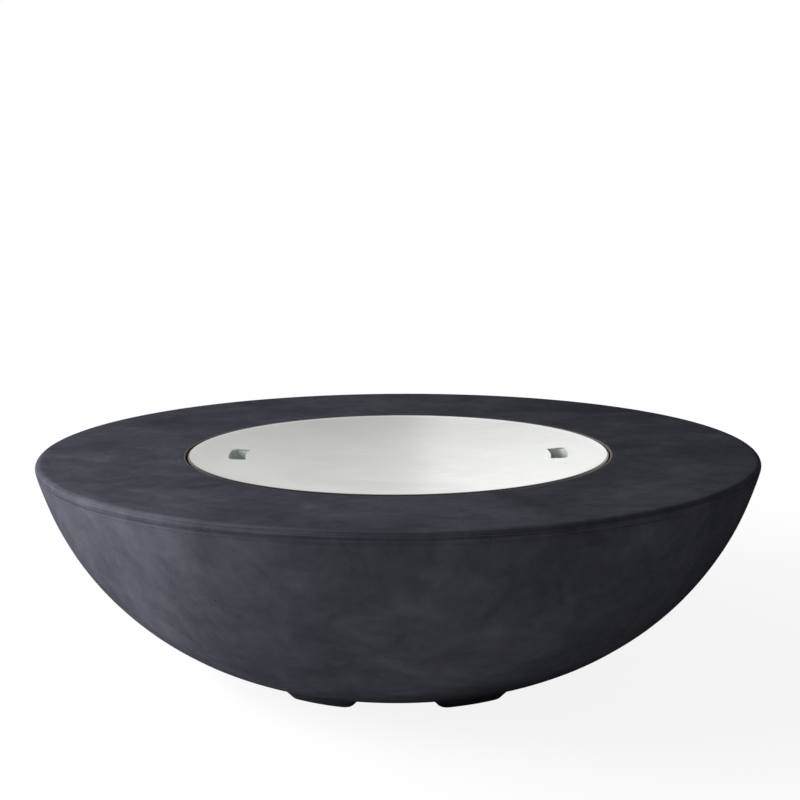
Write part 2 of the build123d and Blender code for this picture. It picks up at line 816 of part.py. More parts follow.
def igniter_nut():
    """Nut inside that clamps the igniter to the wall."""
    return igniter_plane.location * hexagon(
        igniter_nut_flats, -mount_wall - igniter_nut_height, -mount_wall, igniter_radius + thread_gap
    )


def igniter_button():
    """Push button with a rounded face."""
    top = igniter_flange_thickness + button_proud
    button = disc(button_radius, -button_depth, top)
    return igniter_plane.location * fillet(button.edges().group_by(Axis.Z)[-1], button_edge_radius)


def rock(draw, half_radial, half_along, height):
    """One faceted lava rock: a seven-sided outline drawn in at its foot and its top."""
    turns = [number + draw.uniform(-rock_turn_share, rock_turn_share) for number in range(rock_sides)]
    angles = [360 * turn / rock_sides for turn in turns]
    reach = [draw.uniform(*rock_corner_share) for _ in angles]
    outline = [
        (half_radial * far * math.cos(math.radians(angle)), half_along * far * math.sin(math.radians(angle)))
        for angle, far in zip(angles, reach)
    ]
    foot_share = draw.uniform(*rock_foot_share)
    crown_share = draw.uniform(*rock_crown_share)
    levels = [(0, foot_share), (rock_waist_share * height, 1.0), (height, crown_share)]
    sections = []
    for level, share in levels:
        points = [(x * share, y * share) for x, y in outline]
        sections.append(Plane.XY.offset(level) * make_face(Polyline(*points, close=True)))
    return loft(sections, ruled=True)


def rock_rings():
    """Inner and outer radius of each ring of the pan's floor that rocks fill."""
    half_tube = ring_tube / 2
    return [
        (hub_radius + gasket_margin, inner_ring_radius - half_tube),
        (inner_ring_radius + half_tube, outer_ring_radius - half_tube),
        (outer_ring_radius + half_tube, pan_inner_radius),
    ]


def lava_rocks():
    """Bed of lava rocks that lies on the pan's floor between the burner's tubes."""
    draw = random.Random(rock_seed)
    rocks = []
    for low, high in rock_rings():
        middle = (low + high) / 2
        half_radial = (high - low) / 2 - rock_gap
        count = int(2 * math.pi * middle / (rock_pitch_share * half_radial + rock_gap))
        half_along = middle * math.sin(math.pi / count) - rock_gap / 2
        for number in range(count):
            turn = 360 * (number + 0.5) / count
            height = rock_height * draw.uniform(*rock_height_share)
            stone = rock(draw, half_radial, half_along, height)
            away = math.radians(turn - 90)
            across = abs(middle * math.sin(away)) - half_along - rock_gap
            beside = abs(middle * math.cos(away) - pilot_radius)
            if across < bracket_width / 2 and beside < half_radial + bracket_depth / 2:
                continue
            rocks.append(Rot(0, 0, turn) * Pos(middle, 0, pan_floor) * stone)
    return rocks


nodes = {
    "concrete_bowl": concrete_bowl(),
    "lid": lid(),
    "lid_finger_cups": [finger_cup(0), finger_cup(180)],
    "burner_pan": burner_pan(),
    "burner": burner(),
    "hub_gasket": hub_gasket(),
    "hub_locknut": hub_locknut(),
    "air_mixer": air_mixer(),
    "gas_orifice": gas_orifice(),
    "gas_elbow": gas_elbow(),
    "flex_hose": cord(hose_route, hose_diameter, hose_bore_radius),
    "hose_nuts": hose_nuts(),
    "pilot_bracket": pilot_bracket(),
    "pilot_guard": pilot_guard(),
    "pilot_screws": pilot_screws(),
    "electrode_insulator": electrode_insulator(),
    "spark_electrode": spark_electrode(),
    "thermocouple": thermocouple(),
    "ignition_lead": cord(ignition_lead_route, lead_diameter),
    "thermocouple_lead": cord(probe_lead_route, lead_diameter),
    "knob_bezel": knob_bezel(),
    "barrel_nut": barrel_nut(),
    "valve_body": valve_body(),
    "inlet_fitting": inlet_fitting(),
    "stem_collar": stem_collar(),
    "valve_stem": valve_stem(),
    "control_knob": control_knob(),
    "igniter_body": igniter_body(),
    "igniter_nut": igniter_nut(),
    "igniter_button": igniter_button(),
    "lava_rocks": lava_rocks(),
}

os.makedirs("parts", exist_ok=True)
for name, shape in nodes.items():
    solids = shape if isinstance(shape, list) else [shape]
    solids = [solid for item in solids for solid in item.solids()]
    piece = solids[0] if len(solids) == 1 else Compound(children=solids)
    export_step(piece, f"parts/{name}.step")

for name, route in (("hose", hose_route), ("ignition", ignition_lead_route), ("probe", probe_lead_route)):
    print(name, "bend radii", [round(radius, 1) for radius in cord_radii(route)])
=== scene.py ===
"""Gas fire pit: the looks of its concrete bowl, steel lid, burner and controls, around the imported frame.

Metres and degrees, in the frame of the solids: +Z is up, the front is -Y and the controls are at +Y.
"""

import json
import logging
import math
import random
from contextlib import contextmanager
from dataclasses import dataclass
from enum import Enum
from typing import Callable, Iterator, NamedTuple, Optional, Sequence, Union

import bmesh
import bpy
from mathutils import Matrix, Vector


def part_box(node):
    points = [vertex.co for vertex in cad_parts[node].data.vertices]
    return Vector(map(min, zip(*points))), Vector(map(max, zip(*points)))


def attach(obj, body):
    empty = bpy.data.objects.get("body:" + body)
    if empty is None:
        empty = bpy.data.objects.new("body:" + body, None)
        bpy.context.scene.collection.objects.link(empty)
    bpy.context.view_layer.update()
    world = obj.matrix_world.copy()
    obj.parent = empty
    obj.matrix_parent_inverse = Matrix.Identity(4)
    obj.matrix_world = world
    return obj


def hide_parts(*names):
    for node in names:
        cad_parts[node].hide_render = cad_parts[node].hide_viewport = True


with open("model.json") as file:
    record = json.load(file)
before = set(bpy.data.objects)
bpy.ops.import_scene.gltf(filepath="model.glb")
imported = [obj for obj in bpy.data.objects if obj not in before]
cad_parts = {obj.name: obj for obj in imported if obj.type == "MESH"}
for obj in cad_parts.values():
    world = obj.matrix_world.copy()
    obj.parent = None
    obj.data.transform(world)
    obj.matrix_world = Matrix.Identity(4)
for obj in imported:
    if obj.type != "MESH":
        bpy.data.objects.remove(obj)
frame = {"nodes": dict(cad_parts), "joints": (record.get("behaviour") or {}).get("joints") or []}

LOG = logging.getLogger("fire_pit")
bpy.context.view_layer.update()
WHITE = (1.0, 1.0, 1.0)
AXIS = (0.0, 0.0)

# Distance at which two points count as one, at which vertices merge, and by which cutters stand out.
SAME_POINT = 1e-5
WELD = 1e-6
TOOL_REACH = 0.001

# Steps of a sector's long arcs, of its corners and of a broken edge.
SLOT_STEPS = 12
CORNER_STEPS = 6
BEVEL_STEPS = 2

# Ranges that most values of a noise texture fall in.
NOISE_CORE = (0.3, 0.7)
NOISE_SPREAD = (0.25, 0.75)

Colour = tuple[float, float, float]
Place = tuple[float, float, float]
Point = tuple[float, float]
Section = list[Point]
Socket = bpy.types.NodeSocket
Value = Union[float, tuple, Socket]


class Body(Enum):
    """Bodies of the frame that a piece can ride on."""

    PIT = "pit"
    LID = "lid"
    KNOB = "knob"
    BUTTON = "button"


class Grain(Enum):
    """Direction in which a metal was brushed."""

    ALONG_X = "along_x"
    ROUND_Z = "round_z"
    NONE = "none"


class Element(Enum):
    """Elements of a mesh that can be picked."""

    VERT = "verts"
    EDGE = "edges"


class Solver(Enum):
    """Ways to combine two meshes: face by face, or as closed bodies with nothing left over inside."""

    EXACT = "EXACT"
    MANIFOLD = "MANIFOLD"


class Noise(NamedTuple):
    """Settings of a noise texture."""

    scale: float
    detail: float = 4.0
    roughness: float = 0.6
    twist: float = 0.0


class Band(NamedTuple):
    """Smooth step: where it starts and ends, and the two values that it joins."""

    low: float
    high: float
    to_low: float = 0.0
    to_high: float = 1.0


class Relief(NamedTuple):
    """Bump: share of the effect, and real depth of a full step."""

    strength: float
    depth: float


class Lamp(NamedTuple):
    """Soft square lamp: where it hangs, what it faces, its side, its watts, and whether metal shows it."""

    name: str
    place: Place
    target: Place
    size: float
    power: float
    mirrored: bool


def on_arc(centre: Point, radius: float, angle: float) -> Point:
    """Point of a section at a radius and an angle in degrees about a centre."""
    turn = math.radians(angle)
    return centre[0] + radius * math.cos(turn), centre[1] + radius * math.sin(turn)


def arc(centre: Point, radius: float, start: float, end: float, count: int) -> Section:
    """Points of an arc from one angle to another, in degrees, both ends included."""
    return [on_arc(centre, radius, start + (end - start) * step / count) for step in range(count + 1)]


def run(start: Point, end: Point, count: int) -> Section:
    """Evenly spaced points of a straight stretch, without its first point."""
    shares = [step / count for step in range(1, count + 1)]
    return [(start[0] + (end[0] - start[0]) * s, start[1] + (end[1] - start[1]) * s) for s in shares]


def sector(inner: float, outer: float, half: float, corners: Point) -> Section:
    """Outline of a ring sector centred on +X, with rounded corners.

    Args:
        inner: Inner radius.
        outer: Outer radius.
        half: Half of its angle, in degrees.
        corners: Radius of the two corners nearer the centre, and of the two farther out.

    Returns:
        The outline's points, counterclockwise.
    """
    near_corner, far_corner = corners
    near, far = inner + near_corner, outer - far_corner
    near_turn = half - math.degrees(math.asin(near_corner / near))
    far_turn = half - math.degrees(math.asin(far_corner / far))
    points = arc(AXIS, outer, -far_turn, far_turn, SLOT_STEPS)
    points += arc(spot(far, far_turn)[:2], far_corner, far_turn, half + 90.0, CORNER_STEPS)[1:]
    points += arc(spot(near, near_turn)[:2], near_corner, half + 90.0, near_turn + 180.0, CORNER_STEPS)
    points += arc(AXIS, inner, near_turn, -near_turn, SLOT_STEPS)[1:]
    points += arc(spot(near, -near_turn)[:2], near_corner, 180.0 - near_turn, 270.0 - half, CORNER_STEPS)[1:]
    points += arc(spot(far, -far_turn)[:2], far_corner, 270.0 - half, 360.0 - far_turn, CORNER_STEPS)[:-1]
    return points


def bar(near: float, far: float, wide: float) -> Section:
    """Outline of a bar along X, of a half width."""
    return [(near, -wide), (far, -wide), (far, wide), (near, wide)]


def spot(radius: float, angle: float, height: float = 0.0) -> Vector:
    """Point at a radius and an angle in degrees about the bowl's axis."""
    return Vector((*on_arc(AXIS, radius, angle), height))


def turn_about_z(angle: float) -> Matrix:
    """Matrix that turns a mesh about the bowl's axis by an angle in degrees."""
    return Matrix.Rotation(math.radians(angle), 4, "Z")


def turns(count: int, start: float = 0.0, offset: float = 0.0) -> list[float]:
    """Evenly spaced angles of a full turn, moved on by a share of one step."""
    return [start + 360.0 * (number + offset) / count for number in range(count)]


def round_places(radius: float, angles: Sequence[float]) -> list[Matrix]:
    """Places on a circle about the Z axis, unturned."""
    return [Matrix.Translation(spot(radius, angle)) for angle in angles]


LAID_ALONG_X = Matrix.Rotation(math.radians(90.0), 4, "Y")
BOTH_SIDES = (turn_about_z(0.0), turn_about_z(180.0))


class Bench:
    """One mesh on the bench, started from a primitive and shaped through operators."""

    solver: Solver = Solver.EXACT

    def __init__(self, name: str) -> None:
        """Take the active object as this bench's piece, under a name."""
        self.obj = bpy.context.object
        self.rename(name)

    def rename(self, name: str) -> None:
        """Name the object and its mesh."""
        self.obj.name = name
        self.obj.data.name = name

    @classmethod
    def traced(cls, name: str, points: Sequence[Vector], closed: bool = True) -> "Bench":
        """Draw a chain of edges by extruding one vertex from point to point.

        Args:
            name: Name of the piece.
            points: Places that the vertex goes through.
            closed: Whether the last point is joined to the first.

        Returns:
            The bench with the chain on it.
        """
        bpy.ops.object.select_all(action="DESELECT")
        bpy.ops.mesh.primitive_plane_add(size=1.0)
        bench = cls(name)
        with bench.editing():
            bpy.ops.mesh.select_mode(type="VERT")
            bpy.ops.mesh.merge(type="CENTER")
            bpy.ops.transform.translate(value=points[0])
            for here, there in zip(points, points[1:]):
                bench.extrude(there - here)
            if closed:
                ends = (points[0], points[-1])
                bench.pick(Element.VERT, lambda v: min((v.co - end).length for end in ends) < SAME_POINT)
                bpy.ops.mesh.edge_face_add()
        return bench

    @classmethod
    def filled(cls, name: str, outline: Section, height: float) -> "Bench":
        """Fill a flat outline with one face that looks down.

        Args:
            name: Name of the piece.
            outline: Points as X and Y.
            height: Level of the face.

        Returns:
            The bench with the face on it.
        """
        bench = cls.traced(name, [Vector((x, y, height)) for x, y in outline])
        with bench.editing():
            bpy.ops.mesh.edge_face_add()
            mesh = bmesh.from_edit_mesh(bench.obj.data)
            mesh.faces.ensure_lookup_table()
            mesh.normal_update()
            if mesh.faces[0].normal.z > 0:
                bpy.ops.mesh.flip_normals()
        return bench

    @classmethod
    def block(cls, name: str, outline: Section, start: float, rise: float) -> "Bench":
        """Raise an upright block on a flat outline.

        Args:
            name: Name of the piece.
            outline: Points as X and Y.
            start: Level of the outline.
            rise: How far the block goes up from there, or down where negative.

        Returns:
            The bench with the block on it.
        """
        bench = cls.filled(name, outline, start)
        with bench.editing():
            bench.extrude((0.0, 0.0, rise))
            bench.weld()
        return bench

    @classmethod
    def turned(cls, name: str, section: Section, steps: int, closed: bool = True) -> "Bench":
        """Spin a section about the Z axis.

        Args:
            name: Name of the piece.
            section: Points as radius and height.
            steps: Number of steps of the full turn.
            closed: Whether the section is a loop; an open one starts and ends on the axis.

        Returns:
            The bench with the turned mesh on it.
        """
        bench = cls.traced(name, [Vector((r, 0.0, z)) for r, z in section], closed)
        with bench.editing():
            bpy.ops.mesh.spin(steps=steps, angle=math.tau, center=(0, 0, 0), axis=(0, 0, 1))
            bench.weld()
        return bench

    @classmethod
    def rod(cls, name: str, radius: float, low: float, high: float, steps: int = 24) -> "Bench":
        """Upright cylinder between two heights."""
        section = [(0.0, low), (radius, low), (radius, high), (0.0, high)]
        return cls.turned(name, section, steps, closed=False)

    @classmethod
    def pebble(cls, name: str) -> "Bench":
        """Round stone of unit radius to start from.

        Args:
            name: Name of the piece.

        Returns:
            The bench with the stone on it.
        """
        bpy.ops.object.select_all(action="DESELECT")
        bpy.ops.mesh.primitive_ico_sphere_add(subdivisions=2, radius=1.0)
        return cls(name)

    @contextmanager
    def editing(self) -> Iterator[None]:
        """Edit mode on this piece alone with all of it selected.

        Yields:
            Nothing; edit mode is left again at the end.
        """
        self.choose()
        bpy.ops.object.mode_set(mode="EDIT")
        bpy.ops.mesh.select_all(action="SELECT")
        yield
        bpy.ops.object.mode_set(mode="OBJECT")

    def choose(self) -> None:
        """Make this piece the only selected object, and the active one."""
        bpy.ops.object.select_all(action="DESELECT")
        self.obj.select_set(True)
        bpy.context.view_layer.objects.active = self.obj

    def pick(self, kind: Element, wanted: Callable[..., bool]) -> None:
        """Select the elements that a test accepts and nothing else, in edit mode.

        Args:
            kind: Kind of element.
            wanted: Test that an element has to pass.
        """
        bpy.ops.mesh.select_mode(type=kind.name)
        bpy.ops.mesh.select_all(action="DESELECT")
        mesh = bmesh.from_edit_mesh(self.obj.data)
        mesh.normal_update()
        for element in [element for element in getattr(mesh, kind.value) if wanted(element)]:
            element.select_set(True)
        mesh.select_flush_mode()
        bmesh.update_edit_mesh(self.obj.data)

    def extrude(self, way: Sequence[float]) -> None:
        """Extrude the selection along a vector, in edit mode."""
        bpy.ops.mesh.extrude_region_move(TRANSFORM_OT_translate={"value": way})

    def set_heights(self, height: Callable[[Vector], float]) -> None:
        """Give every vertex a new height, in edit mode.

        Args:
            height: Function that finds the height from the vertex's place.
        """
        for vertex in bmesh.from_edit_mesh(self.obj.data).verts:
            vertex.co.z = height(vertex.co)
        bmesh.update_edit_mesh(self.obj.data)

    def weld(self) -> None:
        """Merge doubled vertices and turn all faces outwards, in edit mode."""
        bpy.ops.mesh.select_all(action="SELECT")
        bpy.ops.mesh.remove_doubles(threshold=WELD)
        bpy.ops.mesh.normals_make_consistent(inside=False)

    def modify(self, kind: str, **settings: object) -> "Bench":
        """Add a modifier and apply it.

        Args:
            kind: Type of the modifier.
            settings: Its properties.

        Returns:
            This bench.
        """
        self.choose()
        modifier = self.obj.modifiers.new(kind.lower(), kind)
        for key, value in settings.items():
            setattr(modifier, key, value)
        bpy.ops.object.modifier_apply(modifier=modifier.name)
        return self

    def bevel(self, width: float, angle: float) -> "Bench":
        """Break the edges that are sharper than an angle in degrees."""
        sharp = {"limit_method": "ANGLE", "angle_limit": math.radians(angle)}
        return self.modify("BEVEL", width=width, segments=BEVEL_STEPS, **sharp)

    def _combine(self, tool: "Bench", operation: str) -> "Bench":
        """Combine this mesh with a tool, which is used up.

        Args:
            tool: The other mesh.
            operation: Boolean operation.

        Returns:
            This bench.
        """
        self.modify("BOOLEAN", object=tool.obj, operation=operation, solver=self.solver.value)
        bpy.data.objects.remove(tool.obj, do_unlink=True)
        return self

    def cut(self, tool: "Bench") -> "Bench":
        """Cut the shape of a tool out of this mesh."""
        return self._combine(tool, "DIFFERENCE")

    def unite(self, other: "Bench") -> "Bench":
        """Unite this mesh with another."""
        return self._combine(other, "UNION")

    def place(self, matrix: Matrix) -> "Bench":
        """Move the mesh by a matrix, with the object left at the origin."""
        self.obj.matrix_world = matrix
        return self._joined([self.obj])

    def copies(self, places: Sequence[Matrix]) -> "Bench":
        """Put a copy of this mesh at each place and join them into one.

        Args:
            places: One matrix for each copy.

        Returns:
            This bench, holding all copies.
        """
        made = []
        for matrix in places:
            self.choose()
            bpy.ops.object.duplicate()
            twin = bpy.context.object
            twin.matrix_world = matrix
            made.append(twin)
        bpy.data.objects.remove(self.obj, do_unlink=True)
        return self._joined(made)

    def absorb(self, *others: "Bench") -> "Bench":
        """Join other meshes into this one as separate shells."""
        return self._joined([self.obj, *[other.obj for other in others]])

    def _joined(self, objects: Sequence[bpy.types.Object]) -> "Bench":
        """Join objects into the first one and apply their places.

        Args:
            objects: Objects to join.

        Returns:
            This bench, holding the first object.
        """
        bpy.ops.object.select_all(action="DESELECT")
        for obj in objects:
            obj.select_set(True)
        bpy.context.view_layer.objects.active = objects[0]
        bpy.ops.object.transform_apply(location=True, rotation=True, scale=True)
        if len(objects) > 1:
            bpy.ops.object.join()
        self.obj = objects[0]
        return self

    def smooth(self, angle: float) -> "Bench":
        """Shade smooth, with sharp edges kept crisp.

        Args:
            angle: Angle in degrees past which an edge is sharp.

        Returns:
            This bench.
        """
        self.choose()
        bpy.ops.object.shade_smooth_by_angle(angle=math.radians(angle))
        return self

    def publish(self, name: str, body: Body, slot: str, finish: bpy.types.Material, node: str) -> None:
        """Hand the mesh over as a finished piece of the object.

        Args:
            name: Final name of the piece.
            body: Body that it rides on.
            slot: Material slot of the record; not used.
            finish: Its material.
            node: Solid that it stands for.
        """
        self.rename(name)
        self.obj.data.materials.clear()
        self.obj.data.materials.append(finish)
        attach(self.obj, body.value)
        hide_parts(node)
        LOG.info("%s: %d faces on %s", name, len(self.obj.data.polygons), body.value)


class NodeSheet:
    """Node tree of one material or world, written from its texture towards its shader."""

    def __init__(self, owner: Union[bpy.types.Material, bpy.types.World]) -> None:
        """Start with an empty tree.

        Args:
            owner: Material or world that the tree belongs to.
        """
        self.owner = owner
        owner.use_nodes = True
        self.tree = owner.node_tree
        self.tree.nodes.clear()

    @classmethod
    def material(cls, name: str) -> "NodeSheet":
        """Sheet of a new material."""
        return cls(bpy.data.materials.new(name))

    def add(self, kind: str, inputs: dict[Union[str, int], Value], **settings: object) -> bpy.types.Node:
        """Add a node, set its properties and fill or link its inputs.

        Args:
            kind: Node type.
            inputs: Sockets by name or number, each with a value or another node's output.
            settings: Properties of the node.

        Returns:
            The node.
        """
        node = self.tree.nodes.new(kind)
        for key, value in settings.items():
            setattr(node, key, value)
        for key, value in inputs.items():
            if isinstance(value, Socket):
                self.tree.links.new(value, node.inputs[key])
            elif node.inputs[key].type == "RGBA":
                node.inputs[key].default_value = (*value, 1.0)
            else:
                node.inputs[key].default_value = value
        return node

    def place(self, scale: Place = WHITE) -> Socket:
        """Object coordinates in metres, stretched by a scale."""
        source = self.add("ShaderNodeTexCoord", {}).outputs["Object"]
        return self.add("ShaderNodeMapping", {"Vector": source, "Scale": scale}).outputs["Vector"]

    def parts(self, vector: Socket) -> tuple[Socket, Socket, Socket]:
        """X, Y and Z of a vector."""
        node = self.add("ShaderNodeSeparateXYZ", {"Vector": vector})
        return node.outputs["X"], node.outputs["Y"], node.outputs["Z"]

    def vector(self, x: Value, y: Value, z: Value) -> Socket:
        """Vector from three numbers."""
        return self.add("ShaderNodeCombineXYZ", {"X": x, "Y": y, "Z": z}).outputs["Vector"]

    def maths(self, operation: str, first: Value, *others: Value) -> Socket:
        """Result of one operation on numbers, taken from left to right.

        Args:
            operation: Operation of the nodes.
            first: Number to start from.
            others: Numbers that follow, or none where the operation takes one.

        Returns:
            The result.
        """
        for other in others or (0.0,):
            first = self.add("ShaderNodeMath", {0: first, 1: other}, operation=operation).outputs[0]
        return first

    def product(self, *values: Value) -> Socket:
        """Product of numbers."""
        return self.maths("MULTIPLY", *values)

    def total(self, *values: Value) -> Socket:
        """Sum of numbers."""
        return self.maths("ADD", *values)

    def beyond(self, value: Value, limit: Value) -> Socket:
        """How far a number lies beyond a limit."""
        return self.maths("SUBTRACT", value, limit)

    def radius(self) -> Socket:
        """Distance from the Z axis.

        Returns:
            A length in metres, never quite zero.
        """
        x, y, _ = self.parts(self.place())
        square = self.total(self.product(x, x), self.product(y, y))
        return self.maths("SQRT", self.maths("MAXIMUM", square, SAME_POINT**2))

    def noise(self, vector: Socket, look: Noise) -> Socket:
        """Soft noise.

        Args:
            vector: Place in the texture.
            look: Settings of the noise.

        Returns:
            A number from 0 to 1.
        """
        inputs = {"Vector": vector, "Scale": look.scale, "Detail": look.detail}
        inputs |= {"Roughness": look.roughness, "Distortion": look.twist}
        return self.add("ShaderNodeTexNoise", inputs).outputs["Fac"]

    def round_noise(self, across: float, along: float, look: Noise) -> Socket:
        """Soft noise that runs round the Z axis without a seam.

        Args:
            across: Stretch across the circles, for radius and height.
            along: Stretch along the circles.
            look: Settings of the noise.

        Returns:
            A number from 0 to 1.
        """
        x, y, z = self.parts(self.place())
        radius = self.radius()
        cosine = self.product(self.maths("DIVIDE", x, radius), along)
        sine = self.product(self.maths("DIVIDE", y, radius), along)
        level = self.product(self.beyond(radius, z), across)
        return self.noise(self.vector(cosine, sine, level), look)

    def cells(self, vector: Socket, scale: float) -> bpy.types.Node:
        """Cell texture: distance to the nearest random point, and that cell's own colour."""
        return self.add("ShaderNodeTexVoronoi", {"Vector": vector, "Scale": scale})

    def band(self, value: Socket, step: Band) -> Socket:
        """Smooth step from one value to another.

        Args:
            value: Number that is mapped.
            step: Ends and values of the step.

        Returns:
            The mapped number.
        """
        inputs = {"Value": value, "From Min": step.low, "From Max": step.high}
        inputs |= {"To Min": step.to_low, "To Max": step.to_high}
        return self.add("ShaderNodeMapRange", inputs, interpolation_type="SMOOTHSTEP").outputs["Result"]

    def ramp(self, value: Socket, stops: Sequence[tuple[float, Colour]]) -> Socket:
        """Colour by value.

        Args:
            value: Number from 0 to 1.
            stops: Places and colours.

        Returns:
            The colour.
        """
        node = self.add("ShaderNodeValToRGB", {"Fac": value})
        elements = node.color_ramp.elements
        while len(elements) < len(stops):
            elements.new(0.5)
        for element, (place, colour) in zip(elements, stops):
            element.position = place
            element.color = (*colour, 1.0)
        return node.outputs["Color"]

    def blend(self, share: Value, first: Value, second: Value, mode: str = "MIX") -> Socket:
        """Mix of two colours."""
        inputs = {0: share, 6: first, 7: second}
        return self.add("ShaderNodeMix", inputs, data_type="RGBA", blend_type=mode).outputs[2]

    def mix(self, share: Value, first: Value, second: Value) -> Socket:
        """Mix of two numbers."""
        return self.add("ShaderNodeMix", {0: share, 2: first, 3: second}).outputs[0]

    def shade(self, colour: Value, tone: Socket) -> Socket:
        """Colour made brighter or darker by a tone."""
        return self.blend(1.0, colour, self.vector(tone, tone, tone), "MULTIPLY")

    def relief(self, height: Socket, look: Relief, under: Optional[Socket] = None) -> Socket:
        """Surface normal from a height.

        Args:
            height: Height from 0 to 1.
            look: Strength and depth of the relief.
            under: Normal of a coarser relief below this one.

        Returns:
            The normal.
        """
        inputs = {"Height": height, "Strength": look.strength, "Distance": look.depth}
        if under is not None:
            inputs["Normal"] = under
        return self.add("ShaderNodeBump", inputs).outputs["Normal"]

    def surface(self, **inputs: Value) -> bpy.types.Material:
        """Close the sheet with a surface shader.

        Args:
            inputs: Shader sockets, with spaces written as underscores.

        Returns:
            The finished material.
        """
        named = {key.replace("_", " "): value for key, value in inputs.items()}
        shader = self.add("ShaderNodeBsdfPrincipled", named)
        self.add("ShaderNodeOutputMaterial", {"Surface": shader.outputs["BSDF"]})
        return self.owner


@dataclass(frozen=True)
class ConcreteFinish:
    """Charcoal cast concrete: clouds, trowel arcs on the top, mould lines under the rim and pinholes; painted
    highlight on the rim's edge, painted shade and highlight along the mould lines, painted shade in the
    pinholes, and a pale tan band at the opening.

    Levels and reaches of its zones are measured from the rim, those of the mouth from the opening.
    """

    rim_height: float
    rim_radius: float
    opening_radius: float
    dark: Colour = (0.0305, 0.0313, 0.0395)
    middle: Colour = (0.0415, 0.0427, 0.0525)
    light: Colour = (0.059, 0.0604, 0.0725)
    bloom: Colour = (0.112, 0.114, 0.133)
    # Pale tan colour blended onto the opening's arris.
    bare: Colour = (0.19, 0.165, 0.14)
    # Painted shade inside the pinholes.
    hollow: Colour = (0.014, 0.014, 0.016)
    stops: tuple[float, float, float] = (0.36, 0.5, 0.66)
    clouds: Noise = Noise(4.2, 7.0, 0.6, 0.5)
    cloud_share: float = 0.58
    blotches: Noise = Noise(13.0, 6.0, 0.62, 0.9)
    patches: Noise = Noise(6.5, 5.0, 0.58, 0.6)
    patch_share: Band = Band(0.54, 0.78, 0.0, 0.17)
    strokes: tuple[float, float, Noise] = (90.0, 3.2, Noise(1.0, 5.0, 0.62, 0.5))
    stroke_tone: Band = Band(0.3, 0.7, -0.03, 0.04)
    top_level: Band = Band(-0.0075, -0.0045)
    lines: tuple[float, float, Noise] = (430.0, 1.6, Noise(1.0, 2.0, 0.6, 0.1))
    # Light and dark bands along the mould lines under the rim: painted shade and highlight over their
    # modelled grooves.
    line_shade_and_highlight: Band = Band(0.38, 0.64, -0.3, 0.14)
    line_levels: tuple[Band, Band] = (Band(-0.024, -0.013), Band(-0.0005, -0.004))
    line_reach: Band = Band(-0.03, -0.016)
    # Painted highlight along the rim's rounded top edge, brighter in some stretches, partly edge wear.
    rim_highlight_and_wear: tuple[float, float, Noise] = (60.0, 5.0, Noise(1.0, 4.0, 0.6, 0.2))
    rim_highlight_and_wear_tone: Band = Band(0.36, 0.62, 0.0, 0.14)
    rim_highlight_and_wear_reach: Band = Band(-0.0105, -0.008)
    rim_highlight_and_wear_level: Band = Band(-0.0042, -0.0022)
    flecks: Noise = Noise(52.0, 5.0, 0.68)
    fleck_tone: Band = Band(0.3, 0.7, -0.07, 0.07)
    grain: Noise = Noise(620.0, 2.0)
    grain_tone: Band = Band(0.25, 0.75, -0.08, 0.08)
    pinhole_scale: float = 23.0
    pinhole_size: Band = Band(0.42, 1.0, 0.0, 0.038)
    pinhole_edge: Band = Band(-0.006, 0.006)
    pinhole_share: float = 0.75
    pinhole_relief: Relief = Relief(0.8, 0.0012)
    # Band of the opening's arris that is tinted pale tan.
    mouth_reach: Band = Band(0.0045, 0.0025, 0.0, 0.7)
    mouth_level: Band = Band(-0.0085, -0.006)
    sand: Noise = Noise(240.0, 4.0, 0.65)
    sand_relief: Relief = Relief(0.22, 0.0006)
    line_relief: Relief = Relief(0.10, 0.0012)
    roughness: Band = Band(0.3, 0.7, 0.74, 0.88)

    def make(self) -> bpy.types.Material:
        """Build the material.

        Returns:
            The finished material.
        """
        sheet = NodeSheet.material("charcoal_concrete")
        place = sheet.place()
        radius = sheet.radius()
        level = sheet.beyond(sheet.parts(place)[2], self.rim_height)
        reach = sheet.beyond(radius, self.rim_radius)

        blotches = sheet.noise(place, self.blotches)
        clouds = sheet.product(sheet.noise(place, self.clouds), self.cloud_share)
        mottle = sheet.total(clouds, sheet.product(blotches, 1.0 - self.cloud_share))
        colour = sheet.ramp(mottle, list(zip(self.stops, (self.dark, self.middle, self.light))))
        patches = sheet.band(sheet.noise(place, self.patches), self.patch_share)
        colour = sheet.blend(patches, colour, self.bloom)

        strokes = sheet.band(sheet.round_noise(*self.strokes), self.stroke_tone)
        strokes = sheet.product(strokes, sheet.band(level, self.top_level))
        lines = sheet.round_noise(*self.lines)
        edge = sheet.product(*[sheet.band(level, step) for step in self.line_levels])
        edge = sheet.product(edge, sheet.band(reach, self.line_reach))
        # Zone of the painted highlight, with some wear, on the rim's rounded top edge.
        corner = sheet.product(sheet.band(reach, self.rim_highlight_and_wear_reach), sheet.band(level, self.rim_highlight_and_wear_level))
        tone = sheet.total(
            1.0,
            strokes,
            # Painted shade and highlight along the mould lines.
            sheet.product(sheet.band(lines, self.line_shade_and_highlight), edge),
            # Painted highlight, with some wear, on the rim's rounded edge.
            sheet.product(corner, sheet.band(sheet.round_noise(*self.rim_highlight_and_wear), self.rim_highlight_and_wear_tone)),
            sheet.band(sheet.noise(place, self.flecks), self.fleck_tone),
            sheet.band(sheet.noise(place, self.grain), self.grain_tone),
        )
        colour = sheet.shade(colour, tone)

        holes = sheet.cells(place, self.pinhole_scale)
        size = sheet.band(sheet.parts(holes.outputs["Color"])[0], self.pinhole_size)
        hole = sheet.band(sheet.beyond(size, holes.outputs["Distance"]), self.pinhole_edge)
        # The pinholes are darkened with painted shade.
        colour = sheet.blend(sheet.product(hole, self.pinhole_share), colour, self.hollow)
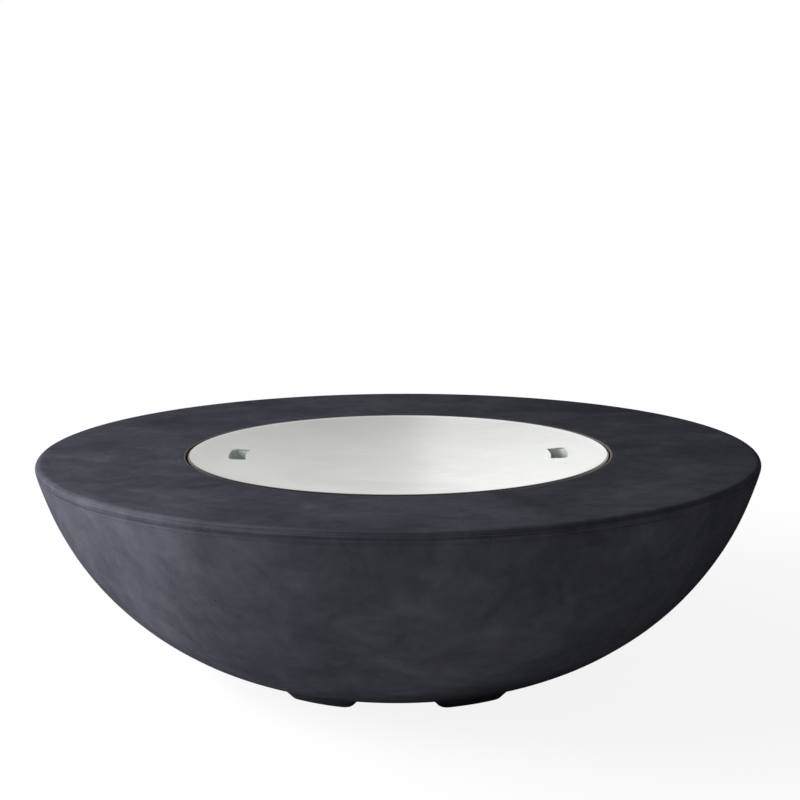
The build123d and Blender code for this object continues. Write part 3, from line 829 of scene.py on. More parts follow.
        # The opening's arris is tinted a pale tan.
        mouth = sheet.band(sheet.beyond(radius, self.opening_radius), self.mouth_reach)
        colour = sheet.blend(sheet.product(mouth, sheet.band(level, self.mouth_level)), colour, self.bare)

        normal = sheet.relief(sheet.noise(place, self.sand), self.sand_relief)
        normal = sheet.relief(sheet.product(lines, edge), self.line_relief, normal)
        normal = sheet.relief(sheet.beyond(1.0, hole), self.pinhole_relief, normal)
        roughness = sheet.band(blotches, self.roughness)
        return sheet.surface(Base_Color=colour, Roughness=roughness, Normal=normal, Specular_IOR_Level=0.0)


@dataclass(frozen=True)
class SteelFinish:
    """Brushed or pressed metal, with an optional heat tint and a dark seam beyond a radius and a level:
    painted gap shadow with some dirt.
    """

    name: str
    colour: Colour
    roughness: float = 0.3
    grain_scale: float = 1100.0
    grain_depth: float = 0.06
    grain: Grain = Grain.NONE
    heat: float = 0.0
    smudge: float = 0.05
    metallic: float = 1.0
    seam: Optional[Point] = None
    seam_width: float = 0.0008
    seam_share: float = 0.9
    # Dark seam line: painted shadow of the gap round the lid, with some dirt.
    seam_dirt_and_shadow: Colour = (0.045, 0.038, 0.033)
    along_x: float = 9.0
    along_circle: float = 3.0
    grain_detail: float = 3.0
    grain_tone: Band = Band(0.2, 0.8, -0.03, 0.03)
    grain_relief: Relief = Relief(0.05, 0.0002)
    clouds: Noise = Noise(5.0, 5.0, 0.55, 0.4)
    haze: Band = Band(0.35, 0.75, 0.0, 0.05)
    stain: Noise = Noise(11.0, 4.0, 0.6, 0.8)
    clean_stop: float = 0.34
    tints: tuple[tuple[float, Colour], ...] = (
        (0.46, (0.5, 0.36, 0.2)),
        (0.56, (0.3, 0.2, 0.24)),
        (0.68, (0.16, 0.2, 0.32)),
    )

    def brushing(self, sheet: NodeSheet) -> Socket:
        """Fine lines or grain of the surface.

        Args:
            sheet: Sheet of the material.

        Returns:
            A number from 0 to 1.
        """
        unit = Noise(1.0, self.grain_detail)
        if self.grain is Grain.ALONG_X:
            return sheet.noise(sheet.place((self.along_x, self.grain_scale, self.grain_scale)), unit)
        if self.grain is Grain.ROUND_Z:
            return sheet.round_noise(self.grain_scale, self.along_circle, unit)
        return sheet.noise(sheet.place(), Noise(self.grain_scale, self.grain_detail))

    def make(self) -> bpy.types.Material:
        """Build the material.

        Returns:
            The finished material.
        """
        sheet = NodeSheet.material(self.name)
        place = sheet.place()
        lines = self.brushing(sheet)
        cloud = sheet.noise(place, self.clouds)
        smudges = sheet.band(cloud, Band(*NOISE_CORE, 1.0 - self.smudge, 1.0))
        colour = sheet.shade(self.colour, sheet.total(smudges, sheet.band(lines, self.grain_tone)))
        if self.heat > 0.0:
            tint = sheet.ramp(sheet.noise(place, self.stain), [(self.clean_stop, self.colour), *self.tints])
            colour = sheet.blend(self.heat, colour, tint)
        # Dark seam at the outer bend: painted shadow of the gap, with some dirt.
        if self.seam is not None:
            radius, low = self.seam
            outside = sheet.band(sheet.radius(), Band(radius, radius + self.seam_width, 0.0, self.seam_share))
            above = sheet.band(sheet.parts(place)[2], Band(low, low + self.seam_width))
            colour = sheet.blend(sheet.product(outside, above), colour, self.seam_dirt_and_shadow)
        depth = self.grain_depth
        spread = Band(*NOISE_SPREAD, self.roughness - depth, self.roughness + depth)
        roughness = sheet.total(sheet.band(lines, spread), sheet.band(cloud, self.haze))
        normal = sheet.relief(lines, self.grain_relief)
        return sheet.surface(Base_Color=colour, Metallic=self.metallic, Roughness=roughness, Normal=normal)


@dataclass(frozen=True)
class LavaFinish:
    """Porous lava rock, dark with rusty patches, and gas bubbles darkened with painted shade."""

    stops: tuple[tuple[float, Colour], ...] = (
        (0.34, (0.022, 0.02, 0.02)),
        (0.52, (0.052, 0.045, 0.043)),
        (0.72, (0.115, 0.058, 0.042)),
    )
    patches: Noise = Noise(26.0, 5.0, 0.65, 0.6)
    bubbles: tuple[float, Band] = (260.0, Band(0.18, 0.42))
    pores: tuple[float, Band] = (598.0, Band(0.15, 0.4))
    # Painted shade inside the gas bubbles and pores.
    hollow: Colour = (0.008, 0.007, 0.007)
    hollow_relief: Relief = Relief(0.9, 0.0016)
    skin: Noise = Noise(140.0, 4.0, 0.7)
    skin_relief: Relief = Relief(0.5, 0.002)
    roughness: float = 0.92
    specular: float = 0.25

    def make(self) -> bpy.types.Material:
        """Build the material.

        Returns:
            The finished material.
        """
        sheet = NodeSheet.material("lava_rock")
        place = sheet.place()
        colour = sheet.ramp(sheet.noise(place, self.patches), self.stops)
        cells = (self.bubbles, self.pores)
        walls = [sheet.band(sheet.cells(place, scale).outputs["Distance"], step) for scale, step in cells]
        solid = sheet.product(*walls)
        # Gas bubbles and pores darkened with painted shade.
        colour = sheet.blend(sheet.beyond(1.0, solid), colour, self.hollow)
        normal = sheet.relief(solid, self.hollow_relief)
        normal = sheet.relief(sheet.noise(place, self.skin), self.skin_relief, normal)
        return sheet.surface(
            Base_Color=colour, Roughness=self.roughness, Normal=normal, Specular_IOR_Level=self.specular
        )


@dataclass(frozen=True)
class MouldedFinish:
    """Moulded plastic, rubber or fired ceramic with a fine surface grain."""

    name: str
    colour: Colour
    roughness: float
    grain_scale: float = 900.0
    grain_depth: float = 0.00015
    variation: float = 0.12
    coat: float = 0.0
    grain_detail: float = 3.0
    grain_strength: float = 0.35
    spread: float = 0.05
    clouds: Noise = Noise(60.0)

    def make(self) -> bpy.types.Material:
        """Build the material.

        Returns:
            The finished material.
        """
        sheet = NodeSheet.material(self.name)
        place = sheet.place()
        grain = sheet.noise(place, Noise(self.grain_scale, self.grain_detail))
        tone = Band(*NOISE_CORE, 1.0 - self.variation, 1.0 + self.variation)
        colour = sheet.shade(self.colour, sheet.band(sheet.noise(place, self.clouds), tone))
        rough = Band(*NOISE_CORE, self.roughness - self.spread, self.roughness + self.spread)
        return sheet.surface(
            Base_Color=colour,
            Roughness=sheet.band(grain, rough),
            Normal=sheet.relief(grain, Relief(self.grain_strength, self.grain_depth)),
            Coat_Weight=self.coat,
        )


@dataclass
class ConcreteBowl:
    """Hollow concrete bowl: flat rim, curved flank, cast feet and the round recesses of the controls."""

    rim_edge_radius: float = 0.009
    side_arc_radius: float = 0.495
    base_radius: float = 0.280
    wall: float = 0.025
    rim_slab: float = 0.042
    base_slab: float = 0.030
    base_hole_radius: float = 0.120
    arris_radius: float = 0.003
    top_fall: float = 0.0035
    lid_gap: float = 0.003
    ledge_depth: float = 0.020
    ledge_width: float = 0.024
    foot_count: int = 6
    foot_height: float = 0.015
    foot_outer_radius: float = 0.273
    foot_depth: float = 0.060
    foot_angle: float = 30.0
    foot_gap_angle: float = 24.5
    foot_draft: float = 45.0
    foot_root: float = 0.006
    foot_corner_radius: float = 0.012
    foot_edge_radius: float = 0.004
    foot_edge_steps: int = 4
    front_angle: float = -91.2
    knob_recess: Point = (0.031, 0.0104)
    button_recess: Point = (0.019, 0.0114)
    inner_spot_radius: float = 0.025
    mount_wall: float = 0.015
    mouth_level: float = 0.006
    mouth_chamfer: float = 0.0025
    recess_reach: float = 0.075
    recess_steps: int = 96
    mould_line_depth: float = 0.0003
    mould_line_width: float = 0.0012
    mould_line_drops: tuple[float, ...] = (0.0022, 0.0058, 0.0098)
    steps: int = 336
    arris_steps: int = 4
    top_steps: int = 26
    rim_steps: int = 7
    flank_steps: int = 58
    cavity_steps: int = 20
    base_steps: int = 10
    hole_steps: int = 2
    inner_steps: int = 6
    pit_count: int = 46
    pit_seed: int = 5
    pit_sizes: Point = (0.0007, 0.0018)
    pit_lift: float = 0.35
    pit_margin: float = 0.02
    pit_angles: Point = (6.0, 3.0)
    pits_per_top_pit: int = 3
    wave_depth: float = 0.0011
    wave_size: float = 0.11
    wave_octaves: int = 2
    wave_margin: float = 0.012
    wave_fade: float = 0.04
    wave_rim_margin: float = 0.02
    wave_rim_fade: float = 0.03
    skin_depth: float = 0.0006
    crease: float = 32.0

    def __post_init__(self) -> None:
        """Take the main sizes from the frame and find the flank's arc."""
        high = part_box("concrete_bowl")[1]
        self.rim_height = high.z
        self.rim_radius = high.x
        self.opening_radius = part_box("lid")[1].x + self.lid_gap
        self.edge = (self.rim_radius - self.rim_edge_radius, self.rim_height - self.rim_edge_radius)
        reach, rise = self.edge[0] - self.base_radius, self.edge[1] - self.foot_height
        chord = math.hypot(reach, rise)
        inner = self.side_arc_radius - self.rim_edge_radius
        along = (self.side_arc_radius**2 - inner**2 + chord**2) / (2 * chord)
        across = math.sqrt(self.side_arc_radius**2 - along**2)
        flank_r = self.base_radius + (along * reach - across * rise) / chord
        flank_z = self.foot_height + (along * rise + across * reach) / chord
        self.flank = (flank_r, flank_z)
        self.rim_angle = math.degrees(math.atan2(self.edge[1] - flank_z, self.edge[0] - flank_r))
        self.base_angle = self.flank_angle(self.side_arc_radius, self.foot_height)

    def top_z(self, radius: float) -> float:
        """Height of the top, which falls a little from the rim towards the opening."""
        inner = self.opening_radius + self.arris_radius
        return self.rim_height - self.top_fall * (self.edge[0] - radius) / (self.edge[0] - inner)

    def flank_angle(self, radius: float, height: float) -> float:
        """Polar angle about the flank's centre, in degrees, at which an arc reaches a height."""
        return math.degrees(math.asin((height - self.flank[1]) / radius))

    def flank_section(self) -> Section:
        """Outer flank from the rim's round down to the base, with fine mould lines near the top.

        Returns:
            The points, from the top.
        """
        degrees = math.degrees(1.0 / self.side_arc_radius)
        half = self.mould_line_width / 2 * degrees
        points: Section = []
        for drop in self.mould_line_drops:
            angle = self.rim_angle - drop * degrees
            for side, depth in ((1, 0.0), (0, self.mould_line_depth), (-1, 0.0)):
                points.append(on_arc(self.flank, self.side_arc_radius - depth, angle + side * half))
        start = self.rim_angle - (self.mould_line_drops[-1] + self.mould_line_width) * degrees
        return points + arc(self.flank, self.side_arc_radius, start, self.base_angle, self.flank_steps)

    def section(self) -> Section:
        """Closed section of the hollow bowl.

        Returns:
            The points, from the opening over the rim, under the base and back through the cavity.
        """
        arris_r = self.opening_radius + self.arris_radius
        arris = (arris_r, self.top_z(arris_r) - self.arris_radius)
        ledge_z = self.rim_height - self.ledge_depth
        neck_low = (self.opening_radius - self.ledge_width, self.rim_height - self.rim_slab)
        hole_low = (self.base_hole_radius, self.foot_height)
        hole_high = (self.base_hole_radius, self.foot_height + self.base_slab)
        inner = self.side_arc_radius - self.wall
        ends = [self.flank_angle(inner, height) for height in (hole_high[1], neck_low[1])]
        cavity = arc(self.flank, inner, *ends, self.cavity_steps)
        points = arc(arris, self.arris_radius, 180.0, 90.0, self.arris_steps)
        points += run(points[-1], (self.edge[0], self.rim_height), self.top_steps)
        points += arc(self.edge, self.rim_edge_radius, 90.0, self.rim_angle, self.rim_steps)[1:]
        points += self.flank_section()
        points += run(points[-1], hole_low, self.base_steps)
        points += run(hole_low, hole_high, self.hole_steps)
        points += run(hole_high, cavity[0], self.inner_steps)
        points += cavity[1:]
        points += run(cavity[-1], neck_low, self.inner_steps)
        return points + [(neck_low[0], ledge_z), (self.opening_radius, ledge_z)]

    def feet(self) -> Bench:
        """Cast feet: ring sectors that flare up into the base, with rounded soles.

        Returns:
            All feet, ready to be united with the bowl.
        """
        root_z = self.foot_height + self.foot_root
        slope = math.tan(math.radians(self.foot_draft))
        flare = root_z * slope
        inner = self.foot_outer_radius - self.foot_depth - flare
        half = self.foot_angle / 2 + math.degrees(self.foot_root * slope / self.foot_outer_radius)
        corner = self.foot_corner_radius + flare
        outline = sector(inner, self.foot_outer_radius + flare, half, (corner, corner))
        foot = Bench.filled("foot", outline, root_z)
        with foot.editing():
            bpy.ops.mesh.inset(thickness=flare, depth=root_z, use_even_offset=True)
            foot.pick(Element.EDGE, lambda e: max(v.co.z for v in e.verts) < SAME_POINT)
            bpy.ops.mesh.bevel(offset=self.foot_edge_radius, segments=self.foot_edge_steps)
            foot.pick(Element.EDGE, lambda e: e.is_boundary)
            bpy.ops.mesh.edge_face_add()
            foot.weld()
        pitch = self.foot_angle + self.foot_gap_angle
        first = self.front_angle - pitch * (self.foot_count - 1) / 2
        return foot.copies([turn_about_z(first + pitch * number) for number in range(self.foot_count)])

    def recess(self, axis: Matrix, recess_radius: float, hole_radius: float) -> Bench:
        """Tool for one control: round recess, hole through the wall and flat spot inside.

        Args:
            axis: Place of the recess's floor, Z outwards.
            recess_radius: Radius of the recess.
            hole_radius: Radius of the hole through the wall.

        Returns:
            The cutting tool.
        """
        deep = self.recess_reach
        mouth_radius = recess_radius + self.mouth_chamfer
        section = [
            (0.0, -deep),
            (self.inner_spot_radius, -deep),
            (self.inner_spot_radius, -self.mount_wall),
            (hole_radius, -self.mount_wall),
            (hole_radius, 0.0),
            (recess_radius, 0.0),
            (recess_radius, self.mouth_level),
            (mouth_radius, self.mouth_level + self.mouth_chamfer),
            (mouth_radius, deep),
            (0.0, deep),
        ]
        return Bench.turned("recess_tool", section, self.recess_steps, closed=False).place(axis)

    def pits(self) -> Bench:
        """Small round pits that trapped air left in the skin.

        Returns:
            The cutting tool.
        """
        draw = random.Random(self.pit_seed)
        near, far = self.opening_radius + self.pit_margin, self.rim_radius - self.pit_margin
        low, high = self.base_angle + self.pit_angles[0], self.rim_angle - self.pit_angles[1]
        places = []
        for number in range(self.pit_count):
            size = draw.uniform(*self.pit_sizes)
            turn = draw.uniform(0.0, 360.0)
            lift = self.pit_lift * size
            if number % self.pits_per_top_pit == 0:
                radius = math.sqrt(draw.uniform(near**2, far**2))
                height = self.top_z(radius) + lift
            else:
                radius, height = on_arc(self.flank, self.side_arc_radius + lift, draw.uniform(low, high))
            places.append(Matrix.Translation(spot(radius, turn, height)) @ Matrix.Scale(size, 4))
        return Bench.pebble("pit_tool").copies(places)

    def skin_share(self, place: Vector) -> float:
        """How far the unevenness reaches a vertex.

        Args:
            place: Place of the vertex.

        Returns:
            1 on the open skin, 0 at edges and seats.
        """
        radius = math.hypot(place.x, place.y)
        off_flank = math.dist((radius, place.z), self.flank) - self.side_arc_radius
        under_rim = self.rim_height - self.wave_rim_margin - place.z
        if abs(place.z - self.top_z(radius)) < SAME_POINT and radius < self.rim_radius:
            ends = min(abs(radius - self.opening_radius), abs(radius - self.rim_radius))
            rim_share = 1.0
        elif abs(off_flank) < self.skin_depth and under_rim > 0.0:
            ends = place.z - self.foot_height
            rim_share = min(1.0, under_rim / self.wave_rim_fade)
        else:
            return 0.0
        return rim_share * min(1.0, max(0.0, (ends - self.wave_margin) / self.wave_fade))

    def ripple(self, bowl: Bench) -> None:
        """Press a faint unevenness into the outer skin.

        Args:
            bowl: Bench with the turned bowl.
        """
        group = bowl.obj.vertex_groups.new(name="skin")
        for vertex in bowl.obj.data.vertices:
            share = self.skin_share(vertex.co)
            if share > 0.0:
                group.add([vertex.index], share, "REPLACE")
        texture = bpy.data.textures.new("hand_finish", "CLOUDS")
        texture.noise_scale = self.wave_size
        texture.noise_depth = self.wave_octaves
        settings = {"texture": texture, "texture_coords": "LOCAL", "vertex_group": group.name}
        bowl.modify("DISPLACE", mid_level=1.0, strength=self.wave_depth, **settings)

    def build(self, valve_axis: Matrix, igniter_axis: Matrix) -> None:
        """Model and dress the bowl.

        Args:
            valve_axis: Place of the knob's recess.
            igniter_axis: Place of the button's recess.
        """
        bowl = Bench.turned("bowl", self.section(), self.steps)
        self.ripple(bowl)
        bowl.unite(self.feet())
        bowl.cut(self.recess(valve_axis, *self.knob_recess))
        bowl.cut(self.recess(igniter_axis, *self.button_recess))
        bowl.cut(self.pits())
        finish = ConcreteFinish(self.rim_height, self.rim_radius, self.opening_radius).make()
        bowl.smooth(self.crease).publish("bowl_casting", Body.PIT, "concrete", finish, "concrete_bowl")


@dataclass
class SteelLid:
    """Dished lid with a turned-down skirt, two finger slots and the cups behind them."""

    sheet: float = 0.0015
    dish: float = 0.0144
    edge_drop: float = 0.0024
    edge_growth: float = 0.0012
    bend_radius: float = 0.005
    slot_inner_radius: float = 0.2605
    slot_width: float = 0.0285
    slot_length: float = 0.089
    slot_corners: Point = (0.003, 0.009)
    slot_edge: float = 0.0005
    slot_edge_angle: float = 55.0
    cup_sheet: float = 0.0012
    cup_depth: float = 0.020
    cup_flange: float = 0.007
    cup_corner_radius: float = 0.004
    cup_corner_steps: int = 5
    weld_gap: float = 0.00005
    seam_inset: float = 0.0008
    steps: int = 216
    dish_steps: int = 26
    bend_steps: int = 7
    lid_crease: float = 40.0
    cup_crease: float = 35.0

    def __post_init__(self) -> None:
        """Take the lid's sizes from the frame."""
        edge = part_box("lid")[1].y
        self.radius = edge + self.edge_growth
        self.skirt_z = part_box("burner_pan")[1].z
        self.rim_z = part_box("concrete_bowl")[1].z
        self.sphere = (edge**2 + self.dish**2) / (2 * self.dish)
        self.centre_z = self.rim_z - self.edge_drop - self.dish + self.sphere
        self.slot_middle = self.slot_inner_radius + self.slot_width / 2
        bend_r = self.radius - self.bend_radius
        self.bend = (bend_r, self.dish_z(bend_r, self.bend_radius))

    def dish_z(self, radius: float, depth: float = 0.0) -> float:
        """Height of the dish at a radius, a depth below its upper face."""
        return self.centre_z - math.sqrt((self.sphere + depth) ** 2 - radius**2)

    def section(self) -> Section:
        """Section of the sheet from the middle's upper face round the skirt to its lower face.

        Returns:
            The points, which start and end on the axis.
        """
        centre = (0.0, self.centre_z)
        lean = math.degrees(math.atan2(self.bend[1] - self.centre_z, self.bend[0]))
        upper = arc(centre, self.sphere, -90.0, lean, self.dish_steps)
        upper += arc(self.bend, self.bend_radius, lean + 180.0, 0.0, self.bend_steps)[1:]
        lower = arc(self.bend, self.bend_radius - self.sheet, 0.0, lean + 180.0, self.bend_steps)
        lower += arc(centre, self.sphere + self.sheet, lean, -90.0, self.dish_steps)[1:]
        skirt = [(self.radius, self.skirt_z), (self.radius - self.sheet, self.skirt_z)]
        return [(0.0, upper[0][1]), *upper[1:], *skirt, *lower[:-1], (0.0, lower[-1][1])]

    def slot_outline(self, margin: float = 0.0) -> Section:
        """Outline of a finger slot at +X.

        Args:
            margin: Widening all round.

        Returns:
            Points as X and Y.
        """
        inner = self.slot_inner_radius - margin
        outer = self.slot_inner_radius + self.slot_width + margin
        half = math.degrees((self.slot_length / 2 + margin) / self.slot_middle)
        near, far = self.slot_corners
        return sector(inner, outer, half, (near + margin, far + margin))

    def cover(self) -> Bench:
        """The dished cover with its two slots and softly broken edges.

        Returns:
            The finished sheet.
        """
        lid = Bench.turned("lid_sheet", self.section(), self.steps, closed=False)
        tool = Bench.block("slot_tool", self.slot_outline(), self.skirt_z, self.rim_z - self.skirt_z)
        lid.cut(tool.copies(BOTH_SIDES))
        return lid.bevel(self.slot_edge, self.slot_edge_angle).smooth(self.lid_crease)

    def cups(self) -> Bench:
        """Pressed cups under the slots, each with a flange that follows the lid's underside.

        Returns:
            Both cups.
        """
        seat = self.sheet + self.weld_gap
        level = self.dish_z(self.slot_middle, seat)
        floor_z = level - self.cup_depth + self.cup_sheet

        def seated(place: Vector) -> float:
            """Height of a vertex once the flange follows the dish."""
            on_flange = place.z > level - SAME_POINT
            return self.dish_z(math.hypot(place.x, place.y), seat) if on_flange else place.z

        cup = Bench.filled("cup", self.slot_outline(self.cup_flange), level)
        with cup.editing():
            bpy.ops.mesh.inset(thickness=self.cup_flange)
            cup.extrude((0.0, 0.0, floor_z - level))
            cup.pick(Element.EDGE, lambda e: max(v.co.z for v in e.verts) < floor_z + SAME_POINT)
            bpy.ops.mesh.bevel(offset=self.cup_corner_radius, segments=self.cup_corner_steps)
            cup.set_heights(seated)
        cup.modify("SOLIDIFY", thickness=self.cup_sheet, offset=1.0)
        return cup.copies(BOTH_SIDES).smooth(self.cup_crease)

    def build(self) -> None:
        """Model and dress the lid and its cups."""
        # The lid's outer bend gets a dark seam: painted shadow of the gap to the rim, with some dirt.
        seam = (self.bend[0] + self.seam_inset, self.bend[1])
        steel = SteelFinish("lid_brushed_steel", (0.915, 0.93, 0.905), 0.32, grain=Grain.ALONG_X, seam=seam)
        self.cover().publish("lid_cover", Body.LID, "lid_steel", steel.make(), "lid")
        # The cups' steel is darker than the lid's: painted shade inside the finger slots.
        pressed = SteelFinish("cup_pressed_steel", (0.56, 0.60, 0.56), 0.5, 300.0, metallic=0.4)
        self.cups().publish("lid_cups", Body.LID, "cup_steel", pressed.make(), "lid_finger_cups")


@dataclass
class BurnerPan:
    """Drop-in steel pan: flange on the ledge, straight wall, flat floor with its holes."""

    sheet: float = 0.002
    inner_radius: float = 0.3285
    bend_radius: float = 0.006
    lip_radius: float = 0.006
    hub_hole_radius: float = 0.0109
    drain_count: int = 8
    drain_radius: float = 0.005
    drain_inset: float = 0.024
    pilot_y: float = 0.256
    pilot_holes: tuple[Point, ...] = ((-0.012, 0.004), (0.012, 0.003), (-0.024, 0.00205), (0.024, 0.00205))
    steps: int = 192
    floor_steps: int = 10
    bend_steps: int = 6
    crease: float = 35.0

    def __post_init__(self) -> None:
        """Take the pan's levels from the frame."""
        low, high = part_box("burner_pan")
        self.under_z = low.z
        self.floor_z = low.z + self.sheet
        self.top_z = high.z
        self.flange_radius = high.x

    def section(self) -> Section:
        """Closed section of the pressed sheet.

        Returns:
            The points, along the floor to the flange and back underneath.
        """
        low_bend = (self.inner_radius - self.bend_radius, self.floor_z + self.bend_radius)
        high_bend = (self.inner_radius + self.lip_radius, self.top_z - self.lip_radius)
        points: Section = [(self.hub_hole_radius, self.floor_z)]
        points += run(points[0], (low_bend[0], self.floor_z), self.floor_steps)
        points += arc(low_bend, self.bend_radius, -90.0, 0.0, self.bend_steps)[1:]
        points += arc(high_bend, self.lip_radius, 180.0, 90.0, self.bend_steps)
        points += [(self.flange_radius, self.top_z), (self.flange_radius, self.top_z - self.sheet)]
        points += arc(high_bend, self.lip_radius - self.sheet, 90.0, 180.0, self.bend_steps)
        points += arc(low_bend, self.bend_radius + self.sheet, 0.0, -90.0, self.bend_steps)
        return points + run(points[-1], (self.hub_hole_radius, self.under_z), self.floor_steps)

    def drills(self) -> Bench:
        """Tool for the drain holes and for the holes under the pilot group.

        Returns:
            The cutting tool.
        """
        low, high = self.under_z - self.sheet, self.floor_z + self.sheet
        circle = round_places(self.inner_radius - self.drain_inset, turns(self.drain_count, offset=0.5))
        tool = Bench.rod("drain_tool", self.drain_radius, low, high).copies(circle)
        for x, radius in self.pilot_holes:
            hole = Bench.rod("pilot_tool", radius, low, high)
            tool.absorb(hole.place(Matrix.Translation((x, self.pilot_y, 0.0))))
        return tool

    def build(self) -> None:
        """Model and dress the pan."""
        pan = Bench.turned("pan", self.section(), self.steps).cut(self.drills())
        look = {"grain": Grain.ROUND_Z, "heat": 0.3, "smudge": 0.2}
        steel = SteelFinish("pan_stainless_sheet", (0.52, 0.52, 0.5), 0.36, 500.0, **look)
        pan.smooth(self.crease).publish("pan_pressing", Body.PIT, "pan_steel", steel.make(), "burner_pan")


@dataclass
class RingBurner:
    """Double-ring burner: bent tubes, spokes, welds, hub and drilled ports."""

    ring_tube: float = 0.0095
    spoke_tube: float = 0.008
    ring_radii: Point = (0.225, 0.115)
    ports: tuple[int, int] = (40, 20)
    spoke_count: int = 4
    spoke_start: float = 45.0
    ball_radius: float = 0.012
    hub_radius: float = 0.020
    hub_cap: float = 0.013
    hub_edge: float = 0.002
    nipple_radius: float = 0.0105
    thread_pitch: float = 0.0018
    thread_depth: float = 0.0007
    port_radius: float = 0.0015
    port_steps: int = 12
    bead_radius: float = 0.0016
    bead_steps: tuple[int, int] = (8, 26)
    bead_seed: int = 3
    hub_steps: tuple[int, int] = (4, 48)
    spoke_steps: int = 28
    ball_steps: tuple[int, int] = (14, 28)
    ring_steps: tuple[int, int] = (24, 144)
    crease: float = 38.0

    def __post_init__(self) -> None:
        """Take the burner's levels from the frame."""
        low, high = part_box("burner")
        self.bottom_z = low.z
        self.top_z = high.z
        self.ring_z = high.z - self.hub_cap
        self.seat_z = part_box("hub_gasket")[1].z
        self.spoke_turns = turns(self.spoke_count, self.spoke_start)

    def hub(self) -> Bench:
        """Hub with broken edges, and its nipple with a fine thread.

        Returns:
            The hub.
        """
        edge, root = self.hub_edge, self.nipple_radius - self.thread_depth
        points: Section = [(0.0, self.bottom_z), (root, self.bottom_z)]
        for row in range(int((self.seat_z - self.bottom_z) / self.thread_pitch) - 1):
            level = self.bottom_z + self.thread_pitch * row
            points += [(self.nipple_radius, level + self.thread_pitch / 2), (root, level + self.thread_pitch)]
        points += [(root, self.seat_z), (self.hub_radius - edge / 2, self.seat_z)]
        points += [(self.hub_radius, self.seat_z + edge / 2)]
        rounding, steps = self.hub_steps
        points += arc((self.hub_radius - edge, self.top_z - edge), edge, 0.0, 90.0, rounding)
        return Bench.turned("hub", points + [(0.0, self.top_z)], steps, closed=False)

    def loop(self, name: str, centre: Point, radius: float, steps: tuple[int, int]) -> Bench:
        """Ring with a round section, from the steps of its section and of its turn."""
        return Bench.turned(name, arc(centre, radius, 0.0, 360.0, steps[0])[:-1], steps[1])

    def frame_of_tubes(self) -> Bench:
        """Hub, spokes, joints and rings united into one skin.

        They are combined as closed bodies, because edges of all of them meet in the rings' plane.

        Returns:
            The united body.
        """
        body = self.hub()
        body.solver = Solver.MANIFOLD
        lift = Matrix.Translation((0.0, 0.0, self.ring_z))
        ball_section = arc(AXIS, self.ball_radius, -90.0, 90.0, self.ball_steps[0])
        for turn in self.spoke_turns:
            spoke = Bench.rod("spoke", self.spoke_tube, 0.0, self.ring_radii[0], self.spoke_steps)
            body.unite(spoke.place(turn_about_z(turn) @ lift @ LAID_ALONG_X))
            for radius in self.ring_radii:
                ball = Bench.turned("joint", ball_section, self.ball_steps[1], closed=False)
                body.unite(ball.place(Matrix.Translation(spot(radius, turn, self.ring_z))))
        for radius in self.ring_radii:
            body.unite(self.loop("ring", (radius, self.ring_z), self.ring_tube, self.ring_steps))
        return body

    def beads(self) -> Bench:
        """Lumpy weld beads where the spokes meet the hub and the rings.

        Returns:
            All beads.
        """
        bead = self.loop("bead", (self.spoke_tube, 0.0), self.bead_radius, self.bead_steps)
        with bead.editing():
            bpy.ops.transform.vertex_random(offset=self.bead_radius / 3, seed=self.bead_seed)
        reach = math.sqrt(self.ball_radius**2 - self.spoke_tube**2)
        outer, inner = self.ring_radii
        places = [
            Matrix.Translation(spot(stop, turn, self.ring_z)) @ turn_about_z(turn) @ LAID_ALONG_X
            for turn in self.spoke_turns
            for stop in (self.hub_radius, inner - reach, inner + reach, outer - reach)
        ]
        return bead.copies(places)

    def drills(self) -> Bench:
        """Tool for the ports on the upper side of both rings.

        Returns:
            The cutting tool.
        """
        places = []
        for radius, count in zip(self.ring_radii, self.ports):
            places += round_places(radius, turns(count, self.spoke_start, 0.5))
        top = self.ring_z + 2 * self.ring_tube
        return Bench.rod("port_tool", self.port_radius, self.ring_z, top, self.port_steps).copies(places)

    def build(self) -> None:
        """Model and dress the burner."""
        body = self.frame_of_tubes().cut(self.drills()).absorb(self.beads()).smooth(self.crease)
        colour = (0.5, 0.48, 0.44)
        steel = SteelFinish("burner_tube_steel", colour, 0.38, 260.0, heat=0.6, smudge=0.25)
        body.publish("ring_burner_tubes", Body.PIT, "burner_steel", steel.make(), "burner")


